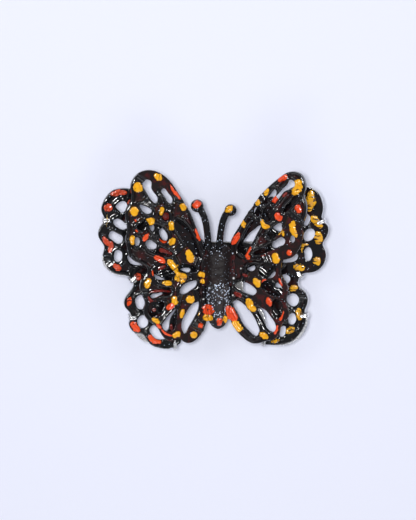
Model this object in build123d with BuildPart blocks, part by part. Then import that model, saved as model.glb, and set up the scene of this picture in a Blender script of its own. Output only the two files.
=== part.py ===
from build123d import *
from math import cos, radians, sin
import os

# Butterfly brooch. Millimetres, +Z out of the front of the brooch, +Y toward the butterfly's head,
# X from its left wings (-X) to its right wings (+X). The origin is the middle of the pin stem,
# on the stem's centre line, which is where the brooch hangs on cloth.

# pin fitting
STEM_R = 0.45
STEM_SEAT = 20.4
TIP_END_X = -15.5
PIVOT_X = 11.7
EYE_R = 1.0
EYE_WIDTH = 1.1
RIVET_R = 0.35
RIVET_HEAD_R = 0.6
RIVET_HEAD_T = 0.25
CHEEK_R = 1.1
CHEEK_T = 0.5
CHEEK_GAP = 1.3
FREE_PLAY = 0.05
SLEEVE_X = -11.8
SLEEVE_LENGTH = 2.4
SLEEVE_R = 1.05
SLEEVE_BORE_R = 0.62
SLEEVE_SLOT = 1.06
RING_LENGTH = 1.4
RING_R = 1.6
RING_MOUTH = 1.5
TAB_T = 0.6
TAB_REACH = 2.1
TAB_SINK = 0.2

# stack of the body, from the back to the front
BAR_Z = 2.2
BAR_T = 0.8
BAR_LENGTH = 27.6
BAR_WIDTH = 2.6
FRAME_Z = BAR_Z + BAR_T
FRAME_T = 0.8
LOWER_Z = FRAME_Z + FRAME_T
LOWER_T = 1.2
PLATE_Z = LOWER_Z + LOWER_T
PLATE_T = 0.8
SPACER_Z = PLATE_Z + PLATE_T
SPACER_T = 1.2
UPPER_Z = SPACER_Z + SPACER_T
UPPER_T = 1.3
BODY_Z = UPPER_Z + UPPER_T

SIT = (Align.CENTER, Align.CENTER, Align.MIN)

# the wings rise outward from a root line at each side of the body
ROOT_X = 3.0
ROOT_GAP = 0.15
LOWER_LEFT_RISE = 8
LOWER_RIGHT_RISE = 10
UPPER_LEFT_RISE = 12
UPPER_RIGHT_RISE = 20
FRAME_BAND = 1.6
# where each wing's level tab starts and ends along the body
LOWER_LEFT_TAB = (-12.9, 1.1)
LOWER_RIGHT_TAB = (-12.7, 1.3)
UPPER_LEFT_TAB = (-16.2, -0.5)
UPPER_RIGHT_TAB = (-15.4, 0.3)

# stud through the stack
STUD_Y = -4.0
STUD_R = 0.9
STUD_PLAY = 0.05
STUD_TOP_Z = BODY_Z + 1.6
STUD_HEAD_R = 1.35
STUD_HEAD_T = 0.5
STUD_HEAD_ROUND = 0.4
WASHER_R = 1.8
WASHER_T = 0.3
BAR_MARGIN = 0.3

# claws that fold over the edge of a lower wing
CLAW_T = 0.5
CLAW_WIDTH = 1.2
CLAW_REACH = 1.5
CLAW_PLAY = 0.15
CLAW_LIFT = 0.03

# pieces of the body
THORAX_HALF = 2.95
THORAX_HEAD_Y = 1.5
THORAX_TAIL_Y = -8.2
THORAX_CORNER = 2.2
THORAX_T = 2.7
THORAX_ROUND = 1.5
FLANK_T = 0.9
FLANK_ROUND = 0.4
ABDOMEN_T = 2.2
ABDOMEN_ROUND = 0.8
ANTENNA_ROOT_R = 0.88
ANTENNA_MID_R = 0.84
ANTENNA_TOP_R = 0.86
PLATE_TOP_Y = 1.5
PLATE_LOW_Y = -8.6
PLATE_GAP = 0.1
SPACER_WIDTH = 5.4
SPACER_LENGTH = 8.0
SPACER_CHAMFER = 0.5
# which side of an outline is its inside: the left wings' run anticlockwise, the right wings' clockwise
INWARD = {False: 1, True: -1}
CROWDING = 0.9
SADDLE_WIDTH = 6.5
SADDLE_LENGTH = 14.0
SADDLE_Y = -5.8
BRIDGE_T = 0.4
NECK_R = 0.53
POINT_R = 0.06
RING_FOOT_HALF = 0.9
SLEEVE_COLLAR = 0.45

# one side of the abdomen and of the low flank round it, from the thorax to the tail
abdomen_side = [
    (2.8, -8.3), (2.6, -10.5), (2.0, -12.8), (1.6, -14.8), (1.4, -17.0), (0.9, -18.5), (0, -19.2),
]
flank_side = [(2.85, -8.3), (2.85, -13.0), (2.7, -16.4), (2.2, -18.1), (1.3, -19.3), (0, -19.9)]


def wing_plane(side, rise, top_z):
    """The front face of a wing: X runs along the wing, level with the body at its root line."""
    angle = radians(rise)
    return Plane(
        origin=(side * ROOT_X, 0, top_z),
        x_dir=(cos(angle), 0, side * sin(angle)),
        z_dir=(-side * sin(angle), 0, cos(angle)),
    )


lower_left_plane = wing_plane(-1, LOWER_LEFT_RISE, PLATE_Z)
lower_right_plane = wing_plane(1, LOWER_RIGHT_RISE, PLATE_Z)
upper_left_plane = wing_plane(-1, UPPER_LEFT_RISE, BODY_Z)
upper_right_plane = wing_plane(1, UPPER_RIGHT_RISE, BODY_Z)

# Outlines are drawn flat on each wing's own plane: (distance from the root line, height toward the head).
lower_left_outline = [
    (0, 1.1), (-2.5, 3.9), (-5.6, 7), (-8.8, 9.5), (-12.1, 11.1), (-15.1, 12.9), (-17.1, 14.7),
    (-19.2, 15.4), (-21.4, 15.5), (-23.4, 15), (-24.9, 13.6), (-25.9, 11.9), (-26.3, 10.3),
    (-25.8, 8.7), (-25.4, 7.6), (-26.2, 6.4), (-26.9, 5.2), (-27.1, 3.7), (-26.4, 2.3),
    (-25.6, 0.7), (-25.9, -0.7), (-25.9, -2.3), (-25.2, -3.9), (-23.8, -5.4), (-22.1, -6.2),
    (-20.3, -6.5), (-19, -7.2), (-18.3, -8.7), (-19, -10.4), (-20.2, -11.9), (-20.7, -13.2),
    (-20.5, -14.5), (-19.4, -15.8), (-18.9, -17.3), (-19.5, -18.6), (-19.1, -20.1), (-17.8, -21.2),
    (-16.2, -21.5), (-15.2, -22.7), (-14.1, -24.2), (-12.2, -25.1), (-9.9, -25.4), (-7.9, -25),
    (-6.5, -24), (-6.4, -21.7), (-6.8, -18.6), (-6.1, -15.5), (-4.6, -13.1), (-1.8, -12.4),
    (0, -12.9),
]
lower_left_openings = {
    "one": [
        (-22.7, 11.2), (-21.8, 12), (-20.6, 12.3), (-19.8, 11.2), (-20.2, 10), (-21, 9.3),
        (-22, 10.1),
    ],
    "two": [
        (-23.1, 7.6), (-22.1, 7.9), (-20.7, 7), (-19.8, 5.6), (-20.6, 5.1), (-22.1, 5.6),
        (-23.1, 6.5),
    ],
    "three": [
        (-24.4, 4), (-23.7, 4.8), (-22.3, 4.2), (-21.1, 3.4), (-21.4, 1.7), (-22.3, 1.6),
        (-23.5, 2.5),
    ],
    "four": [
        (-23.1, -0.9), (-22.3, 0), (-21.4, -0.4), (-21.1, -1.6), (-21.6, -2.9), (-22.5, -3),
        (-23.2, -2.1),
    ],
    "five": [
        (-19.7, -1.4), (-18.6, -2), (-17, -3.2), (-15.2, -3.6), (-16.9, -4), (-18.8, -3.6),
        (-19.6, -2.6),
    ],
    "hidden_root": [
        (-7, -11), (-6.2, -9.1), (-4.4, -8.2), (-1.9, -8), (-1.5, -9.2), (-3.1, -10.8),
        (-4.8, -11.9), (-6.4, -12.1),
    ],
    "a": [
        (-17.9, -13.3), (-17.4, -11.9), (-16.5, -11.5), (-15.6, -12.5), (-15.2, -14.1),
        (-16.1, -15.2), (-17.3, -14.9),
    ],
    "b": [
        (-17.4, -18.4), (-16.9, -17.1), (-16, -16.7), (-15, -17.6), (-14.7, -18.9), (-15.6, -20),
        (-16.8, -19.7),
    ],
    "c": [
        (-14.2, -20.1), (-13.3, -19.3), (-12.1, -20.3), (-11, -21.5), (-10.2, -22.8),
        (-11.5, -23.1), (-13.1, -22.5), (-14, -21.4),
    ],
    "hidden_arch": [
        (-16.9, 11.7), (-15.7, 11.5), (-14.4, 10.6), (-13.2, 9.4), (-13.5, 8.4), (-14.6, 8.5),
        (-16, 9.6), (-16.8, 10.7),
    ],
    "hidden_fleck": [(-14.3, 6.1), (-13.6, 6.4), (-13.1, 5.9), (-13.4, 4.5), (-14.1, 4.7)],
    "hidden_middle": [
        (-11.8, 4.1), (-11.5, 5.1), (-10.7, 5.3), (-10, 4.2), (-9.3, 2.7), (-9.9, 2.1),
        (-11.3, 2.9),
    ],
    "hidden_leaf": [
        (-15.5, 0.3), (-15.2, 1.7), (-14.4, 2.7), (-13.3, 1.9), (-12.4, 1), (-12.7, 0.1),
        (-14.2, 0),
    ],
    "hidden_edge": [
        (-18.3, 3.4), (-17.5, 3.7), (-16.8, 3.3), (-16.6, 2.2), (-16.8, 0.9), (-17.5, 0.7),
        (-18.2, 2),
    ],
    "hidden_lens": [(-6.6, -5.2), (-5.6, -4.9), (-3.9, -5.4), (-4.1, -6), (-5.6, -5.8)],
    "hidden_hind": [
        (-13.4, -6.2), (-12.4, -6.6), (-11.4, -7.2), (-10.3, -7.8), (-11.4, -8.2), (-12.7, -8.1),
        (-13.3, -7.3),
    ],
    "hidden_sliver": [
        (-14.3, -12.3), (-13.8, -11.5), (-12.4, -11.2), (-11, -11.1), (-11.4, -12), (-12.8, -12.6),
        (-13.9, -12.8),
    ],
    "hidden_tail": [
        (-7.4, -14.9), (-7.8, -15.9), (-8.8, -17.4), (-9.3, -19.2), (-9.9, -20.9), (-10.9, -20.7),
        (-11.2, -19), (-10.4, -17.4), (-9.1, -15.8),
    ],
}

lower_right_outline = [
    (0, 1.3), (1, 1.4), (1.8, 0.8), (2.5, 2.2), (3.3, 3.9), (4.5, 5.6), (5.4, 7.2), (6, 8.7),
    (6.7, 10.4), (7.7, 11.8), (9, 12.6), (10.4, 13.3), (11.4, 12.9), (12.2, 12.7), (13.3, 13.8),
    (14.4, 14.9), (15.9, 15.8), (19, 15.9), (20.9, 15.5), (22.4, 14.1), (23.2, 12.2), (23.4, 10.2),
    (23.1, 8.6), (23.2, 7.6), (24.4, 6.5), (24.8, 4.9), (24.1, 3.1), (23.4, 1.5), (24, 0),
    (24.2, -1.8), (23.5, -3.7), (22, -5.1), (20.1, -5.7), (18.4, -6), (17.5, -7.2), (17.4, -9.3),
    (18.7, -10.4), (19.7, -12), (19.6, -13.8), (19, -15.5), (19.3, -17.4), (18.8, -19.5),
    (17.6, -21.5), (15.8, -23.2), (13.2, -24.2), (10.4, -24.4), (8.2, -24), (7, -22.9),
    (7.7, -20.4), (7.1, -17.3), (5.2, -14.7), (2.8, -12.8), (0, -12.7),
]
lower_right_openings = {
    "two": [(18.5, 8.2), (19.4, 9.2), (20.2, 8.4), (20, 7.1), (19.1, 6.1), (18.2, 7)],
    "three": [
        (18.6, 3.5), (19.1, 4.8), (20.2, 5.5), (21.3, 4.9), (21.2, 3.4), (20.2, 2.4), (19, 2.3),
    ],
    "four": [
        (18.8, -1), (19, 0.2), (19.9, 0.8), (20.7, -0.3), (20.6, -1.9), (19.7, -2.8), (18.9, -2.2),
    ],
    "five": [
        (13.3, -3.1), (14.4, -2), (15.7, -1.5), (17.1, -1.1), (17, -2.3), (15.9, -3.1),
        (14.5, -3.3),
    ],
    "waist_gap": [(13.2, -6.6), (14.3, -6.3), (15.2, -7), (15, -8.2), (14.1, -8.8), (13.3, -7.8)],
    "a": [
        (14.5, -12.5), (15.1, -11.4), (16.3, -11.1), (17.4, -11.9), (17.3, -13.5), (16.2, -14.4),
        (15, -13.9),
    ],
    "b": [
        (14.8, -17.7), (15.2, -16.5), (16.2, -16.1), (16.8, -17.1), (16.6, -18.4), (15.7, -19.1),
        (14.9, -18.6),
    ],
    "c": [(12.5, -20.9), (13.1, -19.7), (14, -19.4), (14.2, -20.7), (13.8, -21.9), (12.9, -22.3)],
    "hidden_long": [
        (7.8, 5.8), (7.5, 4.1), (6.6, 2.4), (5.6, 1.4), (4.3, 1.4), (3.4, 1.6), (4, 2.7),
        (4.9, 3.9), (6.1, 4.9),
    ],
    "hidden_middle": [(10.9, 5.7), (11.8, 6.5), (13.3, 6.7), (13.4, 5.5), (12.8, 4.6), (12.1, 4.6)],
    "hidden_leaf": [
        (10.7, 0.9), (11, 1.8), (12.4, 3.1), (13.7, 2.8), (14, 1.5), (12.4, 0.7), (11.2, 0.3),
    ],
    "hidden_edge": [(15, 3.5), (15.7, 3.7), (16.4, 3.1), (16.2, 2), (15.4, 1.6), (15, 2.5)],
    "hidden_lens": [(4.1, -5.3), (5, -4.7), (6.4, -4.4), (6.2, -5.4), (5, -6)],
    "hidden_hind": [(9.3, -7.5), (10.3, -6.7), (11.5, -5.6), (11.8, -6.5), (11, -7.7)],
    "hidden_fleck": [(11.6, -9.4), (12, -8.4), (12.5, -8.3), (13.1, -9.3)],
    "hidden_root": [
        (0.9, -10.1), (1.6, -8.3), (3.2, -7.8), (5.1, -8.4), (6.8, -10), (7.2, -11.6), (5.9, -12.3),
        (3.7, -11.9), (1.7, -11.2),
    ],
    "hidden_tail": [
        (6.8, -14.8), (8.2, -15), (10.2, -16.6), (11.7, -18.3), (12, -20), (10.8, -21.4),
        (9.4, -21.2), (8.3, -19), (7.4, -16.9),
    ],
}

upper_left_outline = [
    (0, -0.5), (-0.8, 1.9), (-2.2, 5.2), (-3.8, 9.3), (-5.6, 12.4), (-7.5, 15.4), (-9.2, 17.8),
    (-11.1, 19.4), (-13.1, 20.3), (-15.2, 20.4), (-16.9, 19.8), (-18.3, 18.4), (-19, 16.4),
    (-18.8, 14.4), (-19.1, 12.7), (-20, 11.2), (-20.4, 9.6), (-20.1, 7.7), (-19.9, 5.7),
    (-20.3, 3.7), (-20, 1.2), (-19.3, -1.1), (-17.9, -2.3), (-16.1, -3.1), (-14.9, -4.2),
    (-15.6, -5.8), (-16.6, -7.6), (-16.8, -9.2), (-16.2, -11), (-15.5, -12.9), (-15.9, -14.7),
    (-15.3, -16.6), (-13.8, -18.1), (-12.5, -19.1), (-11.3, -21), (-9.9, -22.5), (-8.5, -22.7),
    (-7, -22.1), (-5.9, -22.9), (-4.4, -23.5), (-2.7, -22.9), (-1.2, -21.3), (0, -18.7), (0, -16.2),
]
upper_left_openings = {
    "tip_slot": [
        (-15.9, 17.2), (-14.9, 18.1), (-13.7, 17.5), (-13.7, 16.2), (-13, 14.7), (-12.1, 12.9),
        (-12.5, 12.2), (-13.8, 13), (-14.8, 14.6), (-15.6, 15.9),
    ],
    "near_slot": [
        (-11.1, 15.7), (-10.5, 15.8), (-9.4, 14.5), (-8.4, 13), (-8.7, 12), (-9.6, 12.4),
        (-10.5, 13.9),
    ],
    "arch": [(-16.8, 12), (-15.3, 11.5), (-13.6, 10), (-14.4, 9.5), (-15.6, 9.9), (-16.4, 10.9)],
    "eye": [(-10.1, 10), (-9.3, 8.9), (-9.6, 7.5), (-10.8, 7.8), (-11.1, 9.1)],
    "long_leaf": [
        (-7.8, 7.2), (-6.9, 7.9), (-5.6, 7), (-4.2, 5.1), (-3, 2.7), (-1.9, 0), (-1.6, -2),
        (-2.8, -1.2), (-4.3, 0.6), (-6, 2.9), (-7.4, 5.1),
    ],
    "upper_fleck": [
        (-14.1, 6.5), (-12.9, 6.8), (-11.5, 6.4), (-10.7, 5.5), (-11.7, 4.5), (-12.9, 4.5),
        (-13.8, 5.3),
    ],
    "middle": [(-11.7, 5), (-10.7, 5.5), (-9.8, 4.4), (-9.8, 2.7), (-10.8, 2.2), (-11.6, 3.3)],
    "edge_oval": [(-17.4, 3.9), (-16.7, 3.1), (-16.8, 1.9), (-17.6, 1.5), (-18, 2.5), (-17.9, 3.5)],
    "lower_leaf": [
        (-15.2, 2.7), (-14.2, 3), (-12.7, 2.1), (-10.9, 0.8), (-8.4, -0.8), (-10.2, -1.2),
        (-12.3, -0.4), (-14.3, 0.5), (-15.2, 1.6),
    ],
    "side_slit": [(-17.5, 6.7), (-16, 7.6), (-14.4, 8.3), (-14.1, 7.7), (-15.3, 6.6), (-16.8, 5.6)],
    "hind_upper": [
        (-12.9, -4.2), (-12, -3.5), (-10.3, -3.2), (-8.9, -4.3), (-7.9, -5.6), (-8.2, -6.8),
        (-10.2, -7.2), (-12.3, -7), (-13.2, -5.8),
    ],
    "lens": [
        (-7.5, -4.3), (-6.4, -3.5), (-4.7, -3.4), (-3.2, -3.8), (-2.3, -4.8), (-3.7, -5.5),
        (-5.4, -5.6), (-6.8, -5.2),
    ],
    "root_oval": [
        (-6.7, -10), (-5.9, -8.7), (-4.3, -7.9), (-2.3, -7.8), (-2.3, -8.9), (-3.7, -10.1),
        (-5.3, -11), (-6.4, -10.8),
    ],
    "hind_leaf": [
        (-14.6, -9.5), (-13.6, -8.3), (-11.5, -8.9), (-8.9, -9.7), (-9.1, -10.7), (-11.3, -11.1),
        (-13.5, -11.8), (-14.4, -10.9),
    ],
    "hind_outer": [
        (-14.6, -13.7), (-13.7, -12.5), (-12.1, -12.5), (-10.5, -13.2), (-10.8, -14.8),
        (-12.1, -16.2), (-13.8, -16.3), (-14.6, -15),
    ],
    "tail_slot": [
        (-5.5, -21), (-6.2, -19), (-5.8, -17.1), (-4.7, -15.2), (-3.3, -13.5), (-1.9, -13),
        (-1.7, -14.2), (-2.4, -16.3), (-3.6, -18.4), (-4.6, -20.1),
    ],
    "tail_leaf": [
        (-11.1, -18.3), (-10.1, -16.9), (-8.7, -15.4), (-7.5, -14.6), (-7.2, -16.1), (-7.5, -18.3),
        (-8.4, -20.3), (-9.9, -20.3), (-10.9, -19.5),
    ],
}

upper_right_outline = [
    (0, 0.3), (0.4, 2.9), (2, 5.6), (3.8, 8.5), (5.8, 11.3), (7.9, 14.2), (10.2, 16.6),
    (12.8, 18.8), (15, 20.2), (16.9, 20.4), (18.5, 19.7), (19.4, 18), (19.6, 16.3), (19.2, 14.5),
    (19.7, 12.9), (19.9, 11.3), (19.6, 9.3), (18.9, 7.3), (18.9, 4.8), (18.4, 2.3), (17.3, 0.2),
    (15.5, -1.3), (13.5, -2.1), (13.3, -3.7), (13.3, -5.5), (14.3, -7.1), (15.1, -9), (14.7, -11.2),
    (14.7, -13), (15.4, -15), (14.8, -16.7), (13.3, -18.4), (12.8, -20.4), (11.4, -22),
    (9.6, -22.5), (7.9, -23.1), (6, -23.3), (4, -22.4), (2.2, -20.9), (0.8, -19.2), (0, -17.4),
    (0, -15.4),
]
upper_right_openings = {
    "tip_slot": [
        (15, 17.8), (15.9, 18.4), (16.8, 17.7), (16.3, 16.3), (14.6, 15.7), (13.2, 14.3),
        (11.9, 12.6), (11, 11.9), (11.1, 12.9), (12.3, 14.6), (13.7, 16.2),
    ],
    "near_slot": [
        (12, 15.6), (12, 14.5), (10.6, 13.1), (9, 11.7), (8.4, 11.7), (9.3, 13.2), (10.6, 14.8),
    ],
    "outer_slit": [
        (17.4, 14.6), (17.6, 13.6), (16.4, 12.2), (14.9, 10.6), (13.9, 10), (14, 10.8),
        (15.2, 12.5), (16.4, 13.9),
    ],
    "round": [(7.2, 11.2), (8.3, 10.4), (8.1, 9.3), (7, 8.8), (6, 9.5), (6.1, 10.6)],
    "drop": [(10, 11.5), (11.1, 10.7), (11, 9), (10.1, 7.7), (8.8, 7.8), (8.4, 9.1), (8.9, 10.6)],
    "long_leaf": [
        (2.2, 1.5), (3.2, 3.3), (4.5, 5.7), (5.6, 7.3), (7.1, 7.8), (8, 7.2), (7.4, 5.2), (6, 2.5),
        (4.6, 0.1), (3.6, -1.2), (2.5, -0.7),
    ],
    "middle": [
        (9.6, 4.5), (10.5, 5.8), (12.1, 7), (13.4, 7.5), (13.6, 6.3), (12.7, 4.8), (11.3, 3.6),
        (9.9, 3.7),
    ],
    "lower_leaf": [
        (14.3, 3.8), (14.2, 2.5), (12.8, 1.3), (10.2, 0.2), (7.5, -0.6), (6, -0.6), (7.9, 0.6),
        (10.3, 2), (12.2, 3.3),
    ],
    "edge_oval": [(16.2, 4.5), (16.9, 3.9), (16.6, 2.8), (15.8, 2.7), (15.5, 3.5)],
    "lens": [(4.3, -4.6), (4.6, -3.8), (5.7, -3.4), (6.9, -3.4), (6.4, -4.5), (5.3, -5.1)],
    "hind_upper": [
        (7.2, -5), (8, -3.5), (9.8, -2.7), (11.4, -2.9), (12, -4.3), (11.5, -5.9), (9.9, -6.7),
        (8, -6.4),
    ],
    "root_oval": [
        (1.1, -8.6), (2.2, -7.9), (4, -7.9), (5.8, -8.8), (6.9, -10), (6.2, -11), (4.4, -10.9),
        (2.5, -10.1),
    ],
    "hind_leaf": [
        (7.9, -8.1), (9.3, -7.1), (11.2, -7.2), (13, -7.9), (13.7, -9.4), (13, -10.8), (11.1, -11),
        (9.1, -10),
    ],
    "hind_outer": [
        (10.9, -12.7), (11.9, -11.7), (13.3, -12.1), (13.9, -13.7), (13.5, -15.7), (12.3, -16.7),
        (11.1, -15.6), (10.7, -14.1),
    ],
    "tail_slot": [
        (0.9, -13), (2, -12.6), (3.4, -13.3), (4.9, -14.7), (6.4, -16.7), (7.4, -18.7),
        (7.7, -20.6), (6.8, -21.4), (5, -20.5), (2.9, -18.3), (1.5, -15.6),
    ],
    "tail_leaf": [
        (7.5, -14.6), (8.6, -14.2), (9.8, -15.2), (11, -16.7), (12, -18.6), (11.5, -20),
        (10.2, -19.9), (8.9, -18.3), (7.8, -16.3),
    ],
}


def cast_wing(plane, rise, outline, openings, thickness, side, tab, tab_z):
    """One casting: a flat lobed leaf with cut-through openings, and a level tab that runs under the body."""
    tab_low, tab_high = tab
    tab_reach = ROOT_X + thickness * sin(radians(rise))
    with BuildPart() as wing:
        with BuildSketch(plane):
            with BuildLine():
                Spline(*outline)
                Line(outline[-1], outline[0])
            make_face()
            for points in openings.values():
                with BuildLine():
                    Spline(*points, periodic=True)
                make_face(mode=Mode.SUBTRACT)
        extrude(amount=-thickness)
        with Locations((side * (tab_reach + ROOT_GAP) / 2, (tab_low + tab_high) / 2, tab_z)):
            Box(tab_reach - ROOT_GAP, tab_high - tab_low, thickness, align=SIT)
        with Locations((0, STUD_Y, tab_z)):
            Cylinder(STUD_R + STUD_PLAY, thickness, align=SIT, mode=Mode.SUBTRACT)
    return wing.part


# Lower wings: black castings, the wider pair
lower_wing_left = cast_wing(
    lower_left_plane, LOWER_LEFT_RISE, lower_left_outline, lower_left_openings,
    LOWER_T, -1, LOWER_LEFT_TAB, LOWER_Z)
lower_wing_right = cast_wing(
    lower_right_plane, LOWER_RIGHT_RISE, lower_right_outline, lower_right_openings,
    LOWER_T, 1, LOWER_RIGHT_TAB, LOWER_Z)

# Upper wings: the smaller pair, raised on the spacer
upper_wing_left = cast_wing(
    upper_left_plane, UPPER_LEFT_RISE, upper_left_outline, upper_left_openings,
    UPPER_T, -1, UPPER_LEFT_TAB, UPPER_Z)
upper_wing_right = cast_wing(
    upper_right_plane, UPPER_RIGHT_RISE, upper_right_outline, upper_right_openings,
    UPPER_T, 1, UPPER_RIGHT_TAB, UPPER_Z)


# The frame's edge follows its wing's, but runs straight past the small notches and shows below the lobes.
frame_left_outline = [
    *lower_left_outline[:21], (-26.1, -2.6), (-25.4, -4.3), (-23.9, -5.8), (-22.1, -6.6), (-20.3, -6.8),
    *lower_left_outline[26:35], (-18.4, -20.9), (-17.3, -22.2), (-15.9, -23.5), *lower_left_outline[39:],
]
frame_right_outline = [
    (0, 1.3), (2.7, 1.4), (5.6, 1.4), (8.1, 4.3), (10.1, 7.2), (12.7, 9.8), (15.2, 12.3), (17.2, 14.5),
    *lower_right_outline[17:40], (19.6, -17.6), (19.3, -19.8), (18.1, -21.9), (16.1, -23.6), (13.3, -24.6),
    *lower_right_outline[45:],
]


def inset(outline, distance):
    """The outline moved inward, leaving out the points that would crowd a notch."""
    moved = []
    for before, here, after in zip([outline[-1], *outline[:-1]], outline, [*outline[1:], outline[0]]):
        run = Vector(*after) - Vector(*before)
        inward = Vector(-run.Y, run.X) * INWARD[outline[1][0] > 0] / run.length
        point = Vector(*here) + inward * distance
        if min((point - Vector(*other)).length for other in outline) > CROWDING * distance:
            moved.append((point.X, point.Y))
    return moved


# Silver frame: a band under the edge of each lower wing, joined by a level saddle behind the body
with BuildPart() as silver_frame:
    for plane, outline in ((lower_left_plane, frame_left_outline), (lower_right_plane, frame_right_outline)):
        with BuildSketch(plane.offset(-LOWER_T)):
            with BuildLine():
                Spline(*outline)
                Line(outline[-1], outline[0])
            make_face()
            with BuildLine():
                Polyline(*inset(outline, FRAME_BAND), close=True)
            make_face(mode=Mode.SUBTRACT)
        extrude(amount=-FRAME_T)
    with Locations((0, SADDLE_Y, FRAME_Z)):
        Box(SADDLE_WIDTH, SADDLE_LENGTH, FRAME_T, align=SIT)
    with Locations((0, STUD_Y, FRAME_Z)):
        Cylinder(STUD_R + STUD_PLAY, FRAME_T, align=SIT, mode=Mode.SUBTRACT)


# Claws: bent strips soldered to the back of the frame and folded over the front of the lower wings
def claw(plane, place, outward):
    """A square hook at one place on a wing's edge, facing the way the edge faces (degrees)."""
    seat = plane.location * Location((*place, 0)) * Location((0, 0, 0), (0, 0, outward))
    stack = LOWER_T + FRAME_T + 2 * CLAW_LIFT
    with BuildPart() as hook:
        with BuildSketch(Plane(seat * Location((0, 0, 0), (90, 0, 0)))):
            with Locations((CLAW_PLAY, CLAW_LIFT - stack / 2)):
                Rectangle(2 * CLAW_REACH, stack + 2 * CLAW_T, align=(Align.MAX, Align.CENTER))
                Rectangle(CLAW_T, stack + 2 * CLAW_T, align=(Align.MIN, Align.CENTER))
                Rectangle(2 * CLAW_REACH, stack, align=(Align.MAX, Align.CENTER), mode=Mode.SUBTRACT)
        extrude(amount=CLAW_WIDTH / 2, both=True)
        split(bisect_by=Plane(seat * Location((-CLAW_REACH, 0, 0), (0, 90, 0))), keep=Keep.TOP)
    return hook.part


# the edge each claw grips: (place on the wing's plane, direction the edge faces in degrees)
left_claws = {
    "claw_forewing_left": ((-25.6, 7.6), 180),
    "claw_waist_left": ((-19.0, -7.6), 215),
    "claw_hindwing_left": ((-19.1, -17.2), 180),
    "claw_tail_left": ((-7.9, -25.1), 278),
}
right_claws = {
    "claw_forewing_right": ((23.4, 7.5), 20),
    "claw_waist_right": ((17.9, -6.7), -50),
    "claw_hindwing_right": ((19.3, -16.6), 8),
    "claw_tail_right": ((8.4, -24.2), 255),
}
claws = {}
for plane, places in ((lower_left_plane, left_claws), (lower_right_plane, right_claws)):
    for name, (place, outward) in places.items():
        claws[name] = claw(plane, place, outward)

# Centre plate: bridges the roots of the two lower wings
with BuildPart() as centre_plate:
    with BuildSketch(Plane.XY.offset(PLATE_Z)):
        with Locations((0, (PLATE_TOP_Y + PLATE_LOW_Y) / 2)):
            Rectangle(2 * ROOT_X - PLATE_GAP, PLATE_TOP_Y - PLATE_LOW_Y)
    extrude(amount=PLATE_T)
    with Locations((0, STUD_Y, PLATE_Z)):
        Cylinder(STUD_R + STUD_PLAY, PLATE_T, align=SIT, mode=Mode.SUBTRACT)

# Spacer: a small block that lifts the upper wings off the lower ones
with BuildPart() as spacer:
    with Locations((0, STUD_Y, SPACER_Z)):
        Box(SPACER_WIDTH, SPACER_LENGTH, SPACER_T, align=SIT)
        Cylinder(STUD_R + STUD_PLAY, SPACER_T, align=SIT, mode=Mode.SUBTRACT)
    chamfer(spacer.edges().filter_by(Axis.Z).group_by(SortBy.LENGTH)[-1], SPACER_CHAMFER)


# Antennae: tapered rods from the head, each ending in a ball
def antenna(path_points, ball_place, ball_r):
    """A rod swept along a curve that lies a little above the wings, with a ball on its end."""
    with BuildPart() as rod:
        with BuildLine() as path:
            Spline(*path_points)
        for along, radius in ((0, ANTENNA_ROOT_R), (0.5, ANTENNA_MID_R), (1, ANTENNA_TOP_R)):
            with BuildSketch(Plane(origin=path.line @ along, z_dir=path.line % along)):
                Circle(radius)
        sweep(multisection=True)
        with Locations(ball_place):
            Sphere(ball_r)
    return rod.part


antenna_left = antenna(
    ((-2.4, 0.2, 9.4), (-2.5, 2.4, 9.5), (-2.8, 5.6, 9.8), (-3.45, 8.6, 10.2), (-4.5, 10.8, 10.4)),
    (-5.2, 11.5, 10.4), 1.6)
antenna_right = antenna(
    ((0.2, 0.2, 9.4), (0.4, 2.4, 9.5), (0.75, 5.4, 9.8), (1.4, 8.2, 10.2), (2.4, 10.0, 10.4)),
    (3.1, 10.4, 10.4), 1.5)

# Thorax: a rounded block, bored blind for the stud and for the roots of the antennae
with BuildPart() as thorax:
    with BuildSketch(Plane.XY.offset(BODY_Z)):
        with Locations((0, (THORAX_HEAD_Y + THORAX_TAIL_Y) / 2)):
            RectangleRounded(2 * THORAX_HALF, THORAX_HEAD_Y - THORAX_TAIL_Y, THORAX_CORNER)
    extrude(amount=THORAX_T)
    fillet(thorax.faces().sort_by(Axis.Z)[-1].edges(), THORAX_ROUND)
    with Locations((0, STUD_Y, BODY_Z)):
        Cylinder(STUD_R + STUD_PLAY, STUD_TOP_Z - BODY_Z + STUD_PLAY, align=SIT, mode=Mode.SUBTRACT)
    add(antenna_left, mode=Mode.SUBTRACT)
    add(antenna_right, mode=Mode.SUBTRACT)

# Abdomen: a leaf-shaped ridge that narrows to the tail, on a low flank that fills up to the wings
with BuildPart() as abdomen:
    for side_line, thickness, rounding in (
        (flank_side, FLANK_T, FLANK_ROUND), (abdomen_side, ABDOMEN_T, ABDOMEN_ROUND),
    ):
        with BuildSketch(Plane.XY.offset(BODY_Z)):
            with BuildLine():
                Spline(*side_line)
                Line(side_line[0], (-side_line[0][0], side_line[0][1]))
                Spline(*((-x, y) for x, y in side_line))
            make_face()
        extrude(amount=thickness)
        fillet(abdomen.faces().sort_by(Axis.Z)[-1].edges(), rounding)

# Pin bar: the flat bar across the back that carries the hinge and the catch
with BuildPart() as pin_bar:
    with BuildSketch(Plane.XY.offset(BAR_Z)):
        SlotOverall(BAR_LENGTH, BAR_WIDTH)
        with Locations((0, STUD_Y)):
            Circle(WASHER_R + BAR_MARGIN)
        with Locations((0, STUD_Y / 2)):
            Rectangle(2 * WASHER_R, -STUD_Y)
    extrude(amount=BAR_T)
    with Locations((0, STUD_Y, BAR_Z)):
        Cylinder(STUD_R + STUD_PLAY, BAR_T, align=SIT, mode=Mode.SUBTRACT)

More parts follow.
